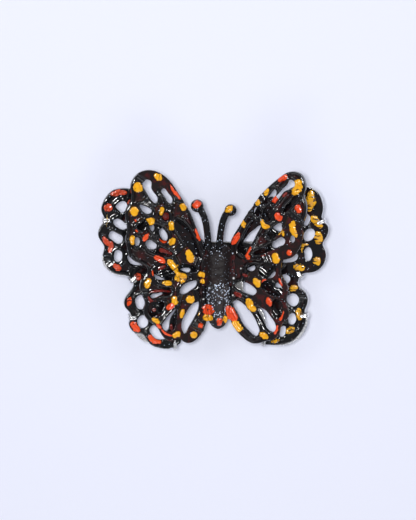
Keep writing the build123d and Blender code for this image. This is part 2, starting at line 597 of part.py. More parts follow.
# Washer and stud: one rod riveted over the washer at the back, glued into the thorax at the front
with BuildPart() as stud_washer:
    with Locations((0, STUD_Y, BAR_Z - WASHER_T)):
        Cylinder(WASHER_R, WASHER_T, align=SIT)
        Cylinder(STUD_R + STUD_PLAY, WASHER_T, align=SIT, mode=Mode.SUBTRACT)

with BuildPart() as body_stud:
    with Locations((0, STUD_Y, BAR_Z - WASHER_T)):
        Cylinder(STUD_R, STUD_TOP_Z - BAR_Z + WASHER_T, align=SIT)
        Cylinder(STUD_HEAD_R, STUD_HEAD_T, align=(Align.CENTER, Align.CENTER, Align.MAX))
    fillet(body_stud.faces().sort_by(Axis.Z)[0].edges(), STUD_HEAD_ROUND)

# Hinge bracket: two round cheeks under the bar
with BuildPart() as hinge_bracket:
    for side in (-1, 1):
        with BuildSketch(Plane.XZ.offset(side * (CHEEK_GAP + CHEEK_T) / 2)):
            with Locations((PIVOT_X, 0)):
                Circle(CHEEK_R)
                Rectangle(2 * CHEEK_R, BAR_Z, align=(Align.CENTER, Align.MIN))
                Circle(RIVET_R, mode=Mode.SUBTRACT)
        extrude(amount=CHEEK_T / 2, both=True)
    with Locations((PIVOT_X, 0, BAR_Z)):
        Box(2 * CHEEK_R, CHEEK_GAP + 2 * CHEEK_T, BRIDGE_T, align=(Align.CENTER, Align.CENTER, Align.MAX))

# Hinge rivet: a headed pin through the cheeks and the eye of the stem
with BuildPart() as hinge_rivet:
    with BuildSketch(Plane.XZ):
        with Locations((PIVOT_X, 0)):
            Circle(RIVET_R)
    extrude(amount=CHEEK_GAP / 2 + CHEEK_T, both=True)
    for side in (-1, 1):
        with BuildSketch(Plane.XZ.offset(side * (CHEEK_GAP / 2 + CHEEK_T + RIVET_HEAD_T / 2))):
            with Locations((PIVOT_X, 0)):
                Circle(RIVET_HEAD_R)
        extrude(amount=RIVET_HEAD_T / 2, both=True)

# Pin stem: a flattened eye, a short neck, the long round seat that cloth hangs on, and a sharp tip
with BuildPart() as pin_stem:
    with BuildSketch(Plane.XZ):
        with Locations((PIVOT_X, 0)):
            Circle(EYE_R)
    extrude(amount=EYE_WIDTH / 2, both=True)
    with BuildSketch(Plane.XY):
        with BuildLine():
            Polyline((PIVOT_X, 0), (PIVOT_X, NECK_R), (STEM_SEAT / 2, STEM_R), (-STEM_SEAT / 2, STEM_R),
                     (TIP_END_X, POINT_R), (TIP_END_X, 0), close=True)
        make_face()
    revolve(axis=Axis.X)
    with BuildSketch(Plane.XZ):
        with Locations((PIVOT_X, 0)):
            Circle(RIVET_R + FREE_PLAY)
    extrude(amount=EYE_WIDTH, both=True, mode=Mode.SUBTRACT)

# Catch bracket: an open ring on a foot under the bar, with its mouth toward the cloth
with BuildPart() as catch_bracket:
    with BuildSketch(Plane.YZ.offset(SLEEVE_X)):
        Circle(RING_R)
        Rectangle(2 * RING_FOOT_HALF, BAR_Z, align=(Align.CENTER, Align.MIN))
        Circle(SLEEVE_R + FREE_PLAY, mode=Mode.SUBTRACT)
        Rectangle(RING_MOUTH, 2 * RING_R, align=(Align.CENTER, Align.MAX), mode=Mode.SUBTRACT)
    extrude(amount=RING_LENGTH / 2, both=True)

# Catch sleeve: a slotted tube that turns inside the ring, with a thumb tab on its outer end
with BuildPart() as catch_sleeve:
    with BuildSketch(Plane.YZ.offset(SLEEVE_X)):
        Circle(SLEEVE_R)
        Circle(SLEEVE_BORE_R, mode=Mode.SUBTRACT)
        Rectangle(SLEEVE_SLOT, 2 * SLEEVE_R, align=(Align.CENTER, Align.MAX), mode=Mode.SUBTRACT)
    extrude(amount=SLEEVE_LENGTH / 2, both=True)
    with BuildSketch(Plane.YZ.offset(SLEEVE_X - SLEEVE_LENGTH / 2)):
        with Locations((-(SLEEVE_R + TAB_REACH - TAB_SINK) / 2, 0)):
            Rectangle(TAB_REACH - SLEEVE_R + TAB_SINK, TAB_T)
    extrude(amount=SLEEVE_COLLAR)

pieces = {
    "silver_frame": silver_frame.part,
    "lower_wing_left": lower_wing_left,
    "lower_wing_right": lower_wing_right,
    "centre_plate": centre_plate.part,
    "spacer": spacer.part,
    "upper_wing_left": upper_wing_left,
    "upper_wing_right": upper_wing_right,
    "thorax": thorax.part,
    "abdomen": abdomen.part,
    "antenna_left": antenna_left,
    "antenna_right": antenna_right,
    "body_stud": body_stud.part,
    "stud_washer": stud_washer.part,
    "pin_bar": pin_bar.part,
    "hinge_bracket": hinge_bracket.part,
    "hinge_rivet": hinge_rivet.part,
    "pin_stem": pin_stem.part,
    "catch_bracket": catch_bracket.part,
    "catch_sleeve": catch_sleeve.part,
    **claws,
}
os.makedirs("parts", exist_ok=True)
for name, piece in pieces.items():
    piece.label = name
    export_step(piece, f"parts/{name}.step")
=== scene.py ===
"""Butterfly brooch: two layers of enamelled openwork wings, claws, a grained body and a pin fitting.

The sections follow the brooch as it is put together on the bench, from the pin fitting at its back
to the paint on its front. Everything is in metres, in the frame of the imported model.
"""
import math
import random

import bmesh
import bpy
import numpy as np
from mathutils import Matrix, Vector, kdtree, noise
from mathutils.bvhtree import BVHTree


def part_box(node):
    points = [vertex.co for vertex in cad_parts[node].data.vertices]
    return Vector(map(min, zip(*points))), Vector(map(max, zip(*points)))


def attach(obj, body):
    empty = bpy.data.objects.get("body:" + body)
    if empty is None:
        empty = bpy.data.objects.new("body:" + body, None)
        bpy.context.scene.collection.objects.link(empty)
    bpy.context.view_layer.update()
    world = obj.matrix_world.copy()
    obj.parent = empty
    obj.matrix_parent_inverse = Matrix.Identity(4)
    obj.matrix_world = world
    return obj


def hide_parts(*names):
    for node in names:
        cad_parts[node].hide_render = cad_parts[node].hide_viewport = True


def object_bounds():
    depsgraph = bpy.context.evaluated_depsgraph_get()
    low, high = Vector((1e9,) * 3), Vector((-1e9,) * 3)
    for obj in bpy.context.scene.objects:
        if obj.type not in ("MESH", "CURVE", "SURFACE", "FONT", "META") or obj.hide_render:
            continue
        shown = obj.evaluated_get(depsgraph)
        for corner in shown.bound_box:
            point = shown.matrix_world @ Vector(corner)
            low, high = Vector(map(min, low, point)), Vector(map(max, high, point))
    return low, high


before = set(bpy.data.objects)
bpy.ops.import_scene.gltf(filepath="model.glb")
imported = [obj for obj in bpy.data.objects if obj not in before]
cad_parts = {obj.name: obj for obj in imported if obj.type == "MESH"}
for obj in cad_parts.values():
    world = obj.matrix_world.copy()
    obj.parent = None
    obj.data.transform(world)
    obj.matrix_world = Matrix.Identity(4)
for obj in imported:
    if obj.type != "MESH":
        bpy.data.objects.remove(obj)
cad_low, cad_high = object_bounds()


# ---------------------------------------------------------------------------------------------
# Pin fitting. A stamped bar with a riveted hinge, a steel stem and a turning safety catch, all
# nickel-plated, the bar left unpolished. It is soldered across the silver frame, and a stud with
# a washer clamps it to the wings. The stem and the sleeve turn.
# ---------------------------------------------------------------------------------------------

MM = 0.001
EDGE_ROUND = 0.09 * MM
FLAT_ANGLE = math.radians(0.5)
SHARP_ANGLE = math.radians(35)
CREASE = math.radians(40)


def put(tree, kind, settings=None, **inputs):
    """A shader node with its settings made, and each named input given a value or linked."""
    node = tree.nodes.new(kind)
    for key, value in (settings or {}).items():
        setattr(node, key, value)
    for key, value in inputs.items():
        socket = node.inputs[int(key[1:])] if key[0] == "_" else node.inputs[key.replace("_", " ")]
        if isinstance(value, bpy.types.NodeSocket):
            tree.links.new(value, socket)
        else:
            socket.default_value = value
    return node


def effect_group(name, inputs, outputs):
    """An empty shader group with named float inputs and outputs, and its two end nodes."""
    tree = bpy.data.node_groups.new(name, "ShaderNodeTree")
    for label, value in inputs.items():
        socket = tree.interface.new_socket(label, in_out="INPUT", socket_type="NodeSocketFloat")
        socket.default_value = value
    for label in outputs:
        tree.interface.new_socket(label, in_out="OUTPUT", socket_type="NodeSocketFloat")
    return tree, tree.nodes.new("NodeGroupInput"), tree.nodes.new("NodeGroupOutput")


def ramp(tree, factor, low, high):
    """A soft step of a value from 0 at low to 1 at high."""
    return put(tree, "ShaderNodeMapRange", {"interpolation_type": "SMOOTHSTEP"},
               Value=factor, From_Min=low, From_Max=high).outputs[0]


def plating_marks():
    """Handling marks on plated metal: cloudy tarnish, and fine scratches that run one way."""
    tree, given, out = effect_group(
        "plating_marks", {"Cloud Scale": 300.0, "Scratch Scale": 2500.0}, ("Tarnish", "Scratches"))
    place = tree.nodes.new("ShaderNodeTexCoord").outputs["Object"]
    cloud = put(tree, "ShaderNodeTexNoise", Vector=place, Scale=given.outputs[0], Detail=6.0, Roughness=0.65)
    drawn = put(tree, "ShaderNodeMapping", Vector=place, Scale=(1.0, 0.12, 0.3))
    lines = put(tree, "ShaderNodeTexNoise", Vector=drawn.outputs[0], Scale=given.outputs[1], Detail=3.0)
    tree.links.new(ramp(tree, cloud.outputs["Fac"], 0.42, 0.72), out.inputs[0])
    tree.links.new(lines.outputs["Fac"], out.inputs[1])
    return tree


PLATING = plating_marks()


def new_material(name):
    """A material with a Principled shader alone, and its tree."""
    material = bpy.data.materials.new(name)
    material.use_nodes = True
    return material, material.node_tree, material.node_tree.nodes["Principled BSDF"]


def mix_colour(tree, factor, first, second):
    """Two colours mixed by a mask."""
    node = put(tree, "ShaderNodeMix", {"data_type": "RGBA"})
    for index, value in ((0, factor), (6, first), (7, second)):
        if isinstance(value, bpy.types.NodeSocket):
            tree.links.new(value, node.inputs[index])
        elif index:
            node.inputs[index].default_value = (*value, 1.0)
        else:
            node.inputs[index].default_value = value
    return node.outputs[2]


def dress(tree, shader, colour, mask, roughness, height, depth, strength=1.0):
    """Feeds a shader its colour, a roughness that follows a mask, and a fine relief."""
    tree.links.new(colour, shader.inputs["Base Color"])
    sheen = put(tree, "ShaderNodeMapRange", Value=mask, To_Min=roughness[0], To_Max=roughness[1])
    tree.links.new(sheen.outputs[0], shader.inputs["Roughness"])
    relief = put(tree, "ShaderNodeBump", Height=height, Distance=depth, Strength=strength)
    tree.links.new(relief.outputs[0], shader.inputs["Normal"])


def plated_metal(name, clean, dull, roughness, scratch_depth):
    """Plated metal: bright, with a duller tint and a rougher sheen where it is tarnished."""
    material, tree, shader = new_material(name)
    marks = put(tree, "ShaderNodeGroup", {"node_tree": PLATING})
    tarnish = marks.outputs["Tarnish"]
    dress(tree, shader, mix_colour(tree, tarnish, clean, dull), tarnish, roughness,
          marks.outputs["Scratches"], scratch_depth)
    shader.inputs["Metallic"].default_value = 1.0
    return material


dull_nickel = plated_metal("dull_nickel", (0.20, 0.195, 0.19), (0.12, 0.115, 0.11),
                           roughness=(0.45, 0.62), scratch_depth=0.004 * MM)
nickel = plated_metal("nickel_plate", (0.74, 0.73, 0.71), (0.52, 0.50, 0.47),
                      roughness=(0.18, 0.38), scratch_depth=0.004 * MM)


def merged_copy(node):
    """A bmesh of a CAD piece with its loose triangles joined up."""
    shape = bmesh.new()
    shape.from_mesh(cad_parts[node].data)
    bmesh.ops.remove_doubles(shape, verts=shape.verts, dist=0.001 * MM)
    return shape


def flat_faced_copy(node):
    """A merged copy of a CAD piece in which each flat face is one face again."""
    shape = merged_copy(node)
    bmesh.ops.dissolve_limit(shape, angle_limit=FLAT_ANGLE, verts=shape.verts, edges=shape.edges)
    return shape


def mesh_of(shape, name):
    """A mesh made from a bmesh, which is then let go."""
    mesh = bpy.data.meshes.new(name)
    shape.to_mesh(mesh)
    shape.free()
    return mesh


def placed(name, data):
    """A new object in the scene."""
    thing = bpy.data.objects.new(name, data)
    bpy.context.scene.collection.objects.link(thing)
    return thing


def mesh_after_modifiers(work):
    """The plain mesh that a working object's modifiers give. The working object is taken away."""
    bpy.context.view_layer.update()
    done = bpy.data.meshes.new_from_object(work.evaluated_get(bpy.context.evaluated_depsgraph_get()))
    bpy.data.objects.remove(work)
    return done


def finished_mesh(shape, *modifiers):
    """A mesh made from a bmesh by a stack of modifiers, each given as (kind, settings)."""
    work = placed("work", mesh_of(shape, "work"))
    for kind, settings in modifiers:
        step = work.modifiers.new(kind.lower(), kind)
        for key, value in settings.items():
            setattr(step, key, value)
    return mesh_after_modifiers(work)


def make_piece(name, mesh, material, body, slot, *replaced, smooth=math.pi):
    """Puts a finished mesh in the scene as a piece that rides on a body and stands for CAD nodes."""
    mesh.materials.clear()
    mesh.materials.append(material)
    mesh.shade_smooth()
    if smooth < math.pi:
        mesh.set_sharp_from_angle(angle=smooth)
    piece = placed(name, mesh)
    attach(piece, body)
    if replaced:
        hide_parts(*replaced)


EASED = ("BEVEL", {"width": EDGE_ROUND, "segments": 3, "limit_method": "ANGLE", "angle_limit": SHARP_ANGLE})
fitting = {
    "pin_bar": "brooch", "hinge_bracket": "brooch", "hinge_rivet": "brooch", "catch_bracket": "brooch",
    "stud_washer": "brooch", "body_stud": "brooch", "pin_stem": "pin", "catch_sleeve": "sleeve",
}
for node, body in fitting.items():
    mesh = finished_mesh(flat_faced_copy(node), EASED)
    plating = dull_nickel if node == "pin_bar" else nickel
    make_piece(f"{node}_finished", mesh, plating, body, "steel", node, smooth=CREASE)


# ---------------------------------------------------------------------------------------------
# Silver frame. A cast band under the rim of each lower wing, joined by a saddle behind the body.
# Silver-tone plating over white metal; its edge is tumbled round and shows below the black lobes.
# ---------------------------------------------------------------------------------------------

silver = plated_metal("silver_plate", (0.94, 0.94, 0.95), (0.74, 0.74, 0.76),
                      roughness=(0.22, 0.40), scratch_depth=0.003 * MM)


def tumbled_mesh(node, grain, passes):
    """A CAD piece remeshed evenly and smoothed, so that its edges are rounded as tumbling leaves them."""
    return finished_mesh(
        merged_copy(node),
        ("REMESH", {"mode": "VOXEL", "voxel_size": grain}),
        ("SMOOTH", {"iterations": passes, "factor": 0.5}),
    )


make_piece("silver_frame_cast", tumbled_mesh("silver_frame", grain=0.13 * MM, passes=3), silver,
           "brooch", "silver", "silver_frame")


# ---------------------------------------------------------------------------------------------
# Claws. Eight loops of silver wire soldered to the frame and folded by hand over the notches of
# the lower wings, so no two lie quite alike. A loose end of gilt thread is caught under the first.
# ---------------------------------------------------------------------------------------------

def smooth_line(points, steps):
    """Even steps along a curve through a list of points, as (place, direction) pairs."""
    points = [Vector(p) for p in points]
    points = [points[0] * 2 - points[1], *points, points[-1] * 2 - points[-2]]
    spans = len(points) - 3
    line = []
    for step in range(steps + 1):
        t = step / steps * spans
        first = min(int(t), spans - 1)
        t -= first
        a, b, c, d = points[first:first + 4]
        even, bend, turn = c - a, 2 * a - 5 * b + 4 * c - d, 3 * b - a - 3 * c + d
        place = 0.5 * (2 * b + even * t + bend * t * t + turn * t ** 3)
        line.append((place, (even + 2 * bend * t + 3 * turn * t * t).normalized()))
    return line


STEPS_PER_SPAN = 5
# the two rings of a domed end, as (how far out, radius) in shares of the wire's radius
DOME = ((0.95, 0.3), (0.7, 0.72))


def wire(points, radius, sides=14):
    """A round wire through a list of points, with domed ends."""
    shape = bmesh.new()
    line = smooth_line(points, STEPS_PER_SPAN * (len(points) - 1))
    (first, run), (last, end_run) = line[0], line[-1]
    spine = [(first - run * radius * out, run, radius * share) for out, share in DOME]
    spine += [(place, way, radius) for place, way in line]
    spine += [(last + end_run * radius * out, end_run, radius * share) for out, share in DOME[::-1]]
    side = run.orthogonal().normalized()
    turns = [2 * math.pi * i / sides for i in range(sides)]
    rings = []
    for place, way, r in spine:
        side = (side - way * side.dot(way)).normalized()
        up = way.cross(side)
        rings.append([shape.verts.new(place + (side * math.cos(t) + up * math.sin(t)) * r) for t in turns])
    for before, after in zip(rings, rings[1:]):
        for i in range(sides):
            shape.faces.new((before[i], before[i - 1], after[i - 1], after[i]))
    shape.faces.new(rings[0])
    shape.faces.new(rings[-1][::-1])
    bmesh.ops.recalc_face_normals(shape, faces=shape.faces)
    return mesh_of(shape, "wire")


# the way each claw faces, in degrees round from +X
claw_turns = {
    "claw_forewing_left": 180, "claw_waist_left": 215, "claw_hindwing_left": 180, "claw_tail_left": 278,
    "claw_forewing_right": 20, "claw_waist_right": -50, "claw_hindwing_right": 8, "claw_tail_right": 255,
}
wing_tilt = {"left": math.radians(8), "right": math.radians(-10)}
CLAW_WIRE_R = 0.25 * MM
CLAW_HALF_GAP = 0.32
# the middle of a claw's CAD box, from the point on the wing's edge that it folds over
CLAW_MIDDLE = Vector((-0.425, 0.0, -1.0)) * MM
# one leg from behind the frame, out past the edge and over the front: (outward, upward) in mm
CLAW_LEG = [(-1.1, -2.27), (-0.2, -2.28), (0.3, -2.1), (0.42, -1.6), (0.42, -0.5), (0.33, 0.1),
            (0.0, 0.31), (-0.6, 0.32), (-1.05, 0.30)]
CLAW_TIP = [(-1.32, 0.34)]
OVER_FRONT = 0.2
claw_dice = random.Random(17)
for claw_node, turn in claw_turns.items():
    low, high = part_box(claw_node)
    tilt = Matrix.Rotation(wing_tilt[claw_node.rsplit("_", 1)[1]], 3, "Y")
    set_to = tilt @ Matrix.Rotation(math.radians(turn), 3, "Z")
    seat = (Vector(low) + Vector(high)) / 2 - set_to @ CLAW_MIDDLE
    lean = claw_dice.uniform(-0.22, 0.22)
    pinch = claw_dice.uniform(0.55, 1.0)
    route = []
    for hand, stretch in ((1, CLAW_LEG), (0, CLAW_TIP), (-1, CLAW_LEG[::-1])):
        for out, up in stretch:
            aside = hand * CLAW_HALF_GAP * (pinch if up > OVER_FRONT else 1.0) + lean * (up + 1.0) * 0.5
            route.append(seat + set_to @ (Vector((out, aside, up)) * MM))
    make_piece(f"{claw_node}_folded", wire(route, CLAW_WIRE_R), silver, "brooch", "silver", claw_node)

gilt = plated_metal("gilt_thread", (0.75, 0.52, 0.20), (0.50, 0.33, 0.12),
                    roughness=(0.25, 0.45), scratch_depth=0.001 * MM)
THREAD_R = 0.08 * MM
low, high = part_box("claw_forewing_left")
thread_start = Vector(((low[0] + high[0]) / 2 + 0.5 * MM, high[1] + 0.9 * MM, high[2] - 0.25 * MM))
thread_steps = [(0.0, 0.0, -0.35), (-0.1, -0.6, 0.0), (0.15, -1.2, 0.12), (0.1, -1.9, 0.1),
                (-0.25, -2.5, -0.1), (-0.15, -3.1, -0.4)]
thread = wire([thread_start + Vector(step) * MM for step in thread_steps], THREAD_R, sides=8)
make_piece("gilt_thread_end", thread, gilt, "brooch", "silver")


# ---------------------------------------------------------------------------------------------
# Lower wings. The wider pair of castings, flooded with black enamel that stands up in a round
# bead along every edge and sinks between them. They lie on the silver frame under the claws.
# ---------------------------------------------------------------------------------------------

def enamel_marks():
    """What hand-laid enamel shows: a slow wave in its surface, pale specks that are partly dust and partly
    painted glints, and dull patches.
    """
    tree, given, out = effect_group(
        "enamel_marks", {"Wave Scale": 500.0, "Speck Scale": 1500.0, "Speck Size": 0.12},
        ("Wave", "Specks", "Dullness"))
    place = tree.nodes.new("ShaderNodeTexCoord").outputs["Object"]
    wave = put(tree, "ShaderNodeTexNoise", Vector=place, Scale=given.outputs[0], Detail=3.0, Roughness=0.5)
    cells = put(tree, "ShaderNodeTexVoronoi", Vector=place, Scale=given.outputs[1])
    near = put(tree, "ShaderNodeMath", {"operation": "LESS_THAN"}, _0=cells.outputs["Distance"],
               _1=given.outputs[2])
    split = put(tree, "ShaderNodeSeparateColor", Color=cells.outputs["Color"])
    some = put(tree, "ShaderNodeMath", {"operation": "GREATER_THAN"}, _0=split.outputs[0], _1=0.55)
    both = put(tree, "ShaderNodeMath", {"operation": "MULTIPLY"}, _0=near.outputs[0], _1=some.outputs[0])
    patch = put(tree, "ShaderNodeTexNoise", Vector=place, Scale=160.0, Detail=5.0, Roughness=0.6)
    tree.links.new(wave.outputs["Fac"], out.inputs[0])
    tree.links.new(both.outputs[0], out.inputs[1])
    tree.links.new(ramp(tree, patch.outputs["Fac"], 0.45, 0.7), out.inputs[2])
    return tree


ENAMEL = enamel_marks()
# pale blue-white specks: partly dust in the enamel, partly painted pin-point highlights
DUST_AND_GLINT = (0.42, 0.50, 0.62)
ENAMEL_WAVE = 0.09 * MM


def wing_enamel(name, bead, field, field_warm, specks, gloss=(0.06, 0.18), coat=0.4, shine=0.5):
    """Glossy enamel: one colour on the raised beads, another with warm clouds in the sunk fields."""
    material, tree, shader = new_material(name)
    marks = put(tree, "ShaderNodeGroup", {"node_tree": ENAMEL}, Speck_Size=specks)
    rim = put(tree, "ShaderNodeAttribute", {"attribute_name": "rim"}).outputs["Fac"]
    warm = put(tree, "ShaderNodeTexNoise", Vector=tree.nodes.new("ShaderNodeTexCoord").outputs["Object"],
               Scale=420.0, Detail=4.0, Roughness=0.6, Distortion=0.8)
    clouds = mix_colour(tree, ramp(tree, warm.outputs["Fac"], 0.47, 0.66), field, field_warm)
    laid = mix_colour(tree, rim, clouds, bead)
    # the pale specks laid over the enamel are partly dust and partly painted glints
    dusty = mix_colour(tree, marks.outputs["Specks"], laid, DUST_AND_GLINT)
    dress(tree, shader, dusty, marks.outputs["Dullness"], gloss, marks.outputs["Wave"], ENAMEL_WAVE, 0.8)
    shader.inputs["Specular IOR Level"].default_value = shine
    shader.inputs["Coat Weight"].default_value = coat
    shader.inputs["Coat Roughness"].default_value = 0.06
    return material


def smooth_step(value, low, high):
    """0 below low, 1 above high, and an even curve between them, for a whole array."""
    t = np.clip((value - low) / (high - low), 0.0, 1.0)
    return t * t * (3.0 - 2.0 * t)


def add_mask(mesh, name, values):
    """A value at each point of a mesh, for its material to read."""
    mesh.attributes.new(name, "FLOAT", "POINT").data.foreach_set("value", values)


WING_GRAIN = 0.15 * MM
WING_THICKNESS = 1.2 * MM
RIM_STEP = 0.1 * MM
HAND_WAVER = 0.05 * MM


def enamelled_mesh(node, seed, bead_width, bead_height, field_depth):
    """A wing: its casting with round edges, a bead of enamel along each edge, and sunk fields."""
    shape = flat_faced_copy(node)
    front = max((f for f in shape.faces if f.normal.z > 0.5), key=lambda f: f.calc_area())
    up = front.normal.copy()
    along = Vector((0.0, 1.0, 0.0))
    across = along.cross(up)
    level = front.calc_center_median().dot(up)
    rim_points = []
    for loop in front.loops:
        start, end = loop.vert.co, loop.link_loop_next.vert.co
        steps = max(1, int((end - start).length / RIM_STEP))
        rim_points += [start.lerp(end, step / steps) for step in range(steps)]
    tree = kdtree.KDTree(len(rim_points))
    for index, point in enumerate(rim_points):
        tree.insert((point.dot(across), point.dot(along), 0.0), index)
    tree.balance()
    mesh = finished_mesh(
        shape,
        ("TRIANGULATE", {}),
        ("REMESH", {"mode": "VOXEL", "voxel_size": WING_GRAIN}),
        ("SMOOTH", {"iterations": 5, "factor": 0.5}),
    )
    count = len(mesh.vertices)
    places = np.empty(count * 3)
    mesh.vertices.foreach_get("co", places)
    places = places.reshape(-1, 3)
    flat = np.column_stack((places @ np.array(across), places @ np.array(along)))
    reach = np.array([tree.find((u, v, 0.0))[2] for u, v in flat])
    height = places @ np.array(up) - level
    levelled = smooth_step(height, -0.30 * MM, -0.12 * MM) * smooth_step(reach, 0.06 * MM, 0.30 * MM)
    places -= np.outer(height * levelled, np.array(up))
    share = reach / bead_width
    face = smooth_step(height, -0.6 * WING_THICKNESS, -0.15 * WING_THICKNESS)
    bead = np.sin(math.pi * np.clip(share, 0.0, 1.0)) ** 0.8 * bead_height
    sunk = smooth_step(share, 0.75, 1.35) * field_depth
    waver = np.array([noise.noise(Vector(p) * 900.0 + Vector((seed, 0, 0))) for p in places]) * HAND_WAVER
    places += np.outer(face * (bead - sunk + waver), np.array(up))
    mesh.vertices.foreach_set("co", places.ravel())
    add_mask(mesh, "rim", 1.0 - smooth_step(share, 0.85, 1.3) * face)
    mesh.update()
    return mesh


black_enamel = wing_enamel("black_enamel", (0.004, 0.004, 0.005), (0.005, 0.004, 0.005),
                           (0.020, 0.006, 0.006), specks=0.15)
for seed, side in enumerate(("left", "right")):
    node = f"lower_wing_{side}"
    mesh = enamelled_mesh(node, seed, bead_width=0.95 * MM, bead_height=0.14 * MM, field_depth=0.26 * MM)
    make_piece(f"{node}_enamelled", mesh, black_enamel, "brooch", "black_enamel", node)


# ---------------------------------------------------------------------------------------------
# Centre plate and spacer. A flat plate under dull black enamel bridges the roots of the lower
# wings, and a plain nickel-plated block on it lifts the upper wings.
# ---------------------------------------------------------------------------------------------

root_enamel = wing_enamel("root_enamel", (0.005, 0.004, 0.004), (0.005, 0.004, 0.004),
                          (0.012, 0.006, 0.006), specks=0.05, gloss=(0.70, 0.90), coat=0.0, shine=0.15)
for node, material, slot in (("centre_plate", root_enamel, "black_enamel"), ("spacer", nickel, "steel")):
    mesh = finished_mesh(flat_faced_copy(node), EASED)
    add_mask(mesh, "rim", [1.0] * len(mesh.vertices))
    make_piece(f"{node}_finished", mesh, material, "brooch", slot, node, smooth=CREASE)


# ---------------------------------------------------------------------------------------------
# Upper wings. The smaller pair, raised on the spacer and bent up by hand. Black beads stand
# round every opening, and the fields between them are a see-through maroon over the dark metal.
# ---------------------------------------------------------------------------------------------

maroon_enamel = wing_enamel("maroon_enamel", (0.005, 0.004, 0.005), (0.011, 0.006, 0.006),
                            (0.055, 0.007, 0.007), specks=0.14)
for seed, side in enumerate(("left", "right"), start=5):
    node = f"upper_wing_{side}"
    mesh = enamelled_mesh(node, seed, bead_width=0.90 * MM, bead_height=0.28 * MM, field_depth=0.34 * MM)
    make_piece(f"{node}_enamelled", mesh, maroon_enamel, "brooch", "maroon_enamel", node)


# ---------------------------------------------------------------------------------------------
# Thorax and abdomen. The thorax is a soft mound of dull enamel with pale specks, partly dust and
# partly painted glints, wine-coloured down its flanks. The abdomen is a leaf-shaped drop. Glass grains
# are sprinkled over it while the enamel is wet, and run over on to the roots of the wings and, more
# thinly, the head. The pale blue-white tint of some of the grains is painted glints.
# ---------------------------------------------------------------------------------------------

WINE = (0.060, 0.006, 0.007)


def body_enamel(name, colour, warm, roughness, specks, speck_scale, shine=0.5):
    """Thick enamel on the body and antennae, with pale specks that are partly dust and partly painted
    glints, and wine on a masked flank.
    """
    material, tree, shader = new_material(name)
    marks = put(tree, "ShaderNodeGroup", {"node_tree": ENAMEL}, Speck_Size=specks, Speck_Scale=speck_scale)
    wave = marks.outputs["Wave"]
    laid = mix_colour(tree, marks.outputs["Dullness"], colour, warm)
    flank = put(tree, "ShaderNodeAttribute", {"attribute_name": "flank"}).outputs["Fac"]
    blotch = put(tree, "ShaderNodeMath", {"operation": "MULTIPLY"}, _0=flank,
                 _1=ramp(tree, wave, 0.40, 0.62))
    laid = mix_colour(tree, blotch.outputs[0], laid, WINE)
    # the pale specks laid over the enamel are partly dust and partly painted glints
    dusty = mix_colour(tree, marks.outputs["Specks"], laid, DUST_AND_GLINT)
    dress(tree, shader, dusty, wave, roughness, wave, ENAMEL_WAVE, 0.7)
    shader.inputs["Specular IOR Level"].default_value = shine
    return material


thorax_enamel = body_enamel("thorax_enamel", (0.013, 0.010, 0.011), (0.024, 0.014, 0.014),
                            roughness=(0.42, 0.68), specks=0.16, speck_scale=2200.0, shine=0.2)
abdomen_enamel = body_enamel("abdomen_enamel", (0.012, 0.012, 0.015), (0.026, 0.016, 0.016),
                             roughness=(0.42, 0.65), specks=0.2, speck_scale=1800.0, shine=0.25)


def add_sheet(shape, grid, turned):
    """Faces between the rows of a grid of points, turned over for an underside."""
    for first, second in zip(grid, grid[1:]):
        for i in range(len(first) - 1):
            corner = (first[i], first[i + 1], second[i + 1], second[i])
            shape.faces.new(corner[::-1] if turned else corner)


# the mound's measures, in mm: its end over the abdomen, its half width, and the foot of the wings
MOUND_END = 8.9
MOUND_HALF = 4.15
WING_FOOT = 3.0
WING_RISE = {"left": math.tan(math.radians(12)), "right": math.tan(math.radians(20))}
BEDDING = 0.12
ROWS_ALONG = 84
STEPS_ACROSS = 64


def mound_point(x, y, half, nose, low, tall):
    """The heights of the mound's underside and top at a point, all in mm."""
    rise = max(0.0, -x - WING_FOOT) * WING_RISE["left"] + max(0.0, x - WING_FOOT) * WING_RISE["right"]
    ground = low.z + rise - BEDDING
    side = 1.0 - float(smooth_step(abs(x) / half, 0.30, 1.0))
    tail = 1.0 - 0.1 * float(smooth_step(-y, 6.0, MOUND_END))
    swell = tall * side ** 0.85 * (1.0 - nose ** 2.2) * tail
    lumps = 0.22 * noise.noise(Vector((x * 0.8, y * 0.8, 1.0)))
    lumps += 0.09 * noise.noise(Vector((x * 2.4, y * 2.4, 5.0)))
    return ground - 0.1, ground + swell + lumps * min(1.0, swell * 1.5)


def body_mound():
    """The thorax: a soft mound of enamel, run down over the roots of the wings and uneven on top."""
    low, high = (Vector(corner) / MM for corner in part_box("thorax"))
    tall = high.z - low.z - 0.15
    mound = bmesh.new()
    top, base = [], []
    for j in range(ROWS_ALONG + 1):
        y = (high.y + MOUND_END) * j / ROWS_ALONG - MOUND_END
        nose = float(smooth_step(y, -1.4, high.y))
        half = MOUND_HALF - 1.1 * float(smooth_step(y, -1.6, 0.3)) - 0.9 * float(smooth_step(y, 0.3, high.y))
        half += 0.25 * noise.noise(Vector((y * 0.9, 3.0, 0.0)))
        top.append([])
        base.append([])
        for i in range(STEPS_ACROSS + 1):
            x = half * (2.0 * i / STEPS_ACROSS - 1.0)
            under, over = mound_point(x, y, half, nose, low, tall)
            top[-1].append(mound.verts.new(Vector((x, y, over)) * MM))
            base[-1].append(mound.verts.new(Vector((x, y, under)) * MM))
    add_sheet(mound, top, False)
    add_sheet(mound, base, True)
    rims = [[g[0] for g in grid] + grid[-1][1:-1] + [g[-1] for g in grid[::-1]] + grid[0][-2:0:-1]
            for grid in (top, base)]
    for i in range(len(rims[0])):
        mound.faces.new((rims[0][i - 1], rims[0][i], rims[1][i], rims[1][i - 1]))
    bmesh.ops.recalc_face_normals(mound, faces=mound.faces)
    mesh = mesh_of(mound, "mound")
    outward = np.array([abs(v.co.x) for v in mesh.vertices])
    add_mask(mesh, "flank", smooth_step(outward, 2.3 * MM, 3.6 * MM))
    return mesh


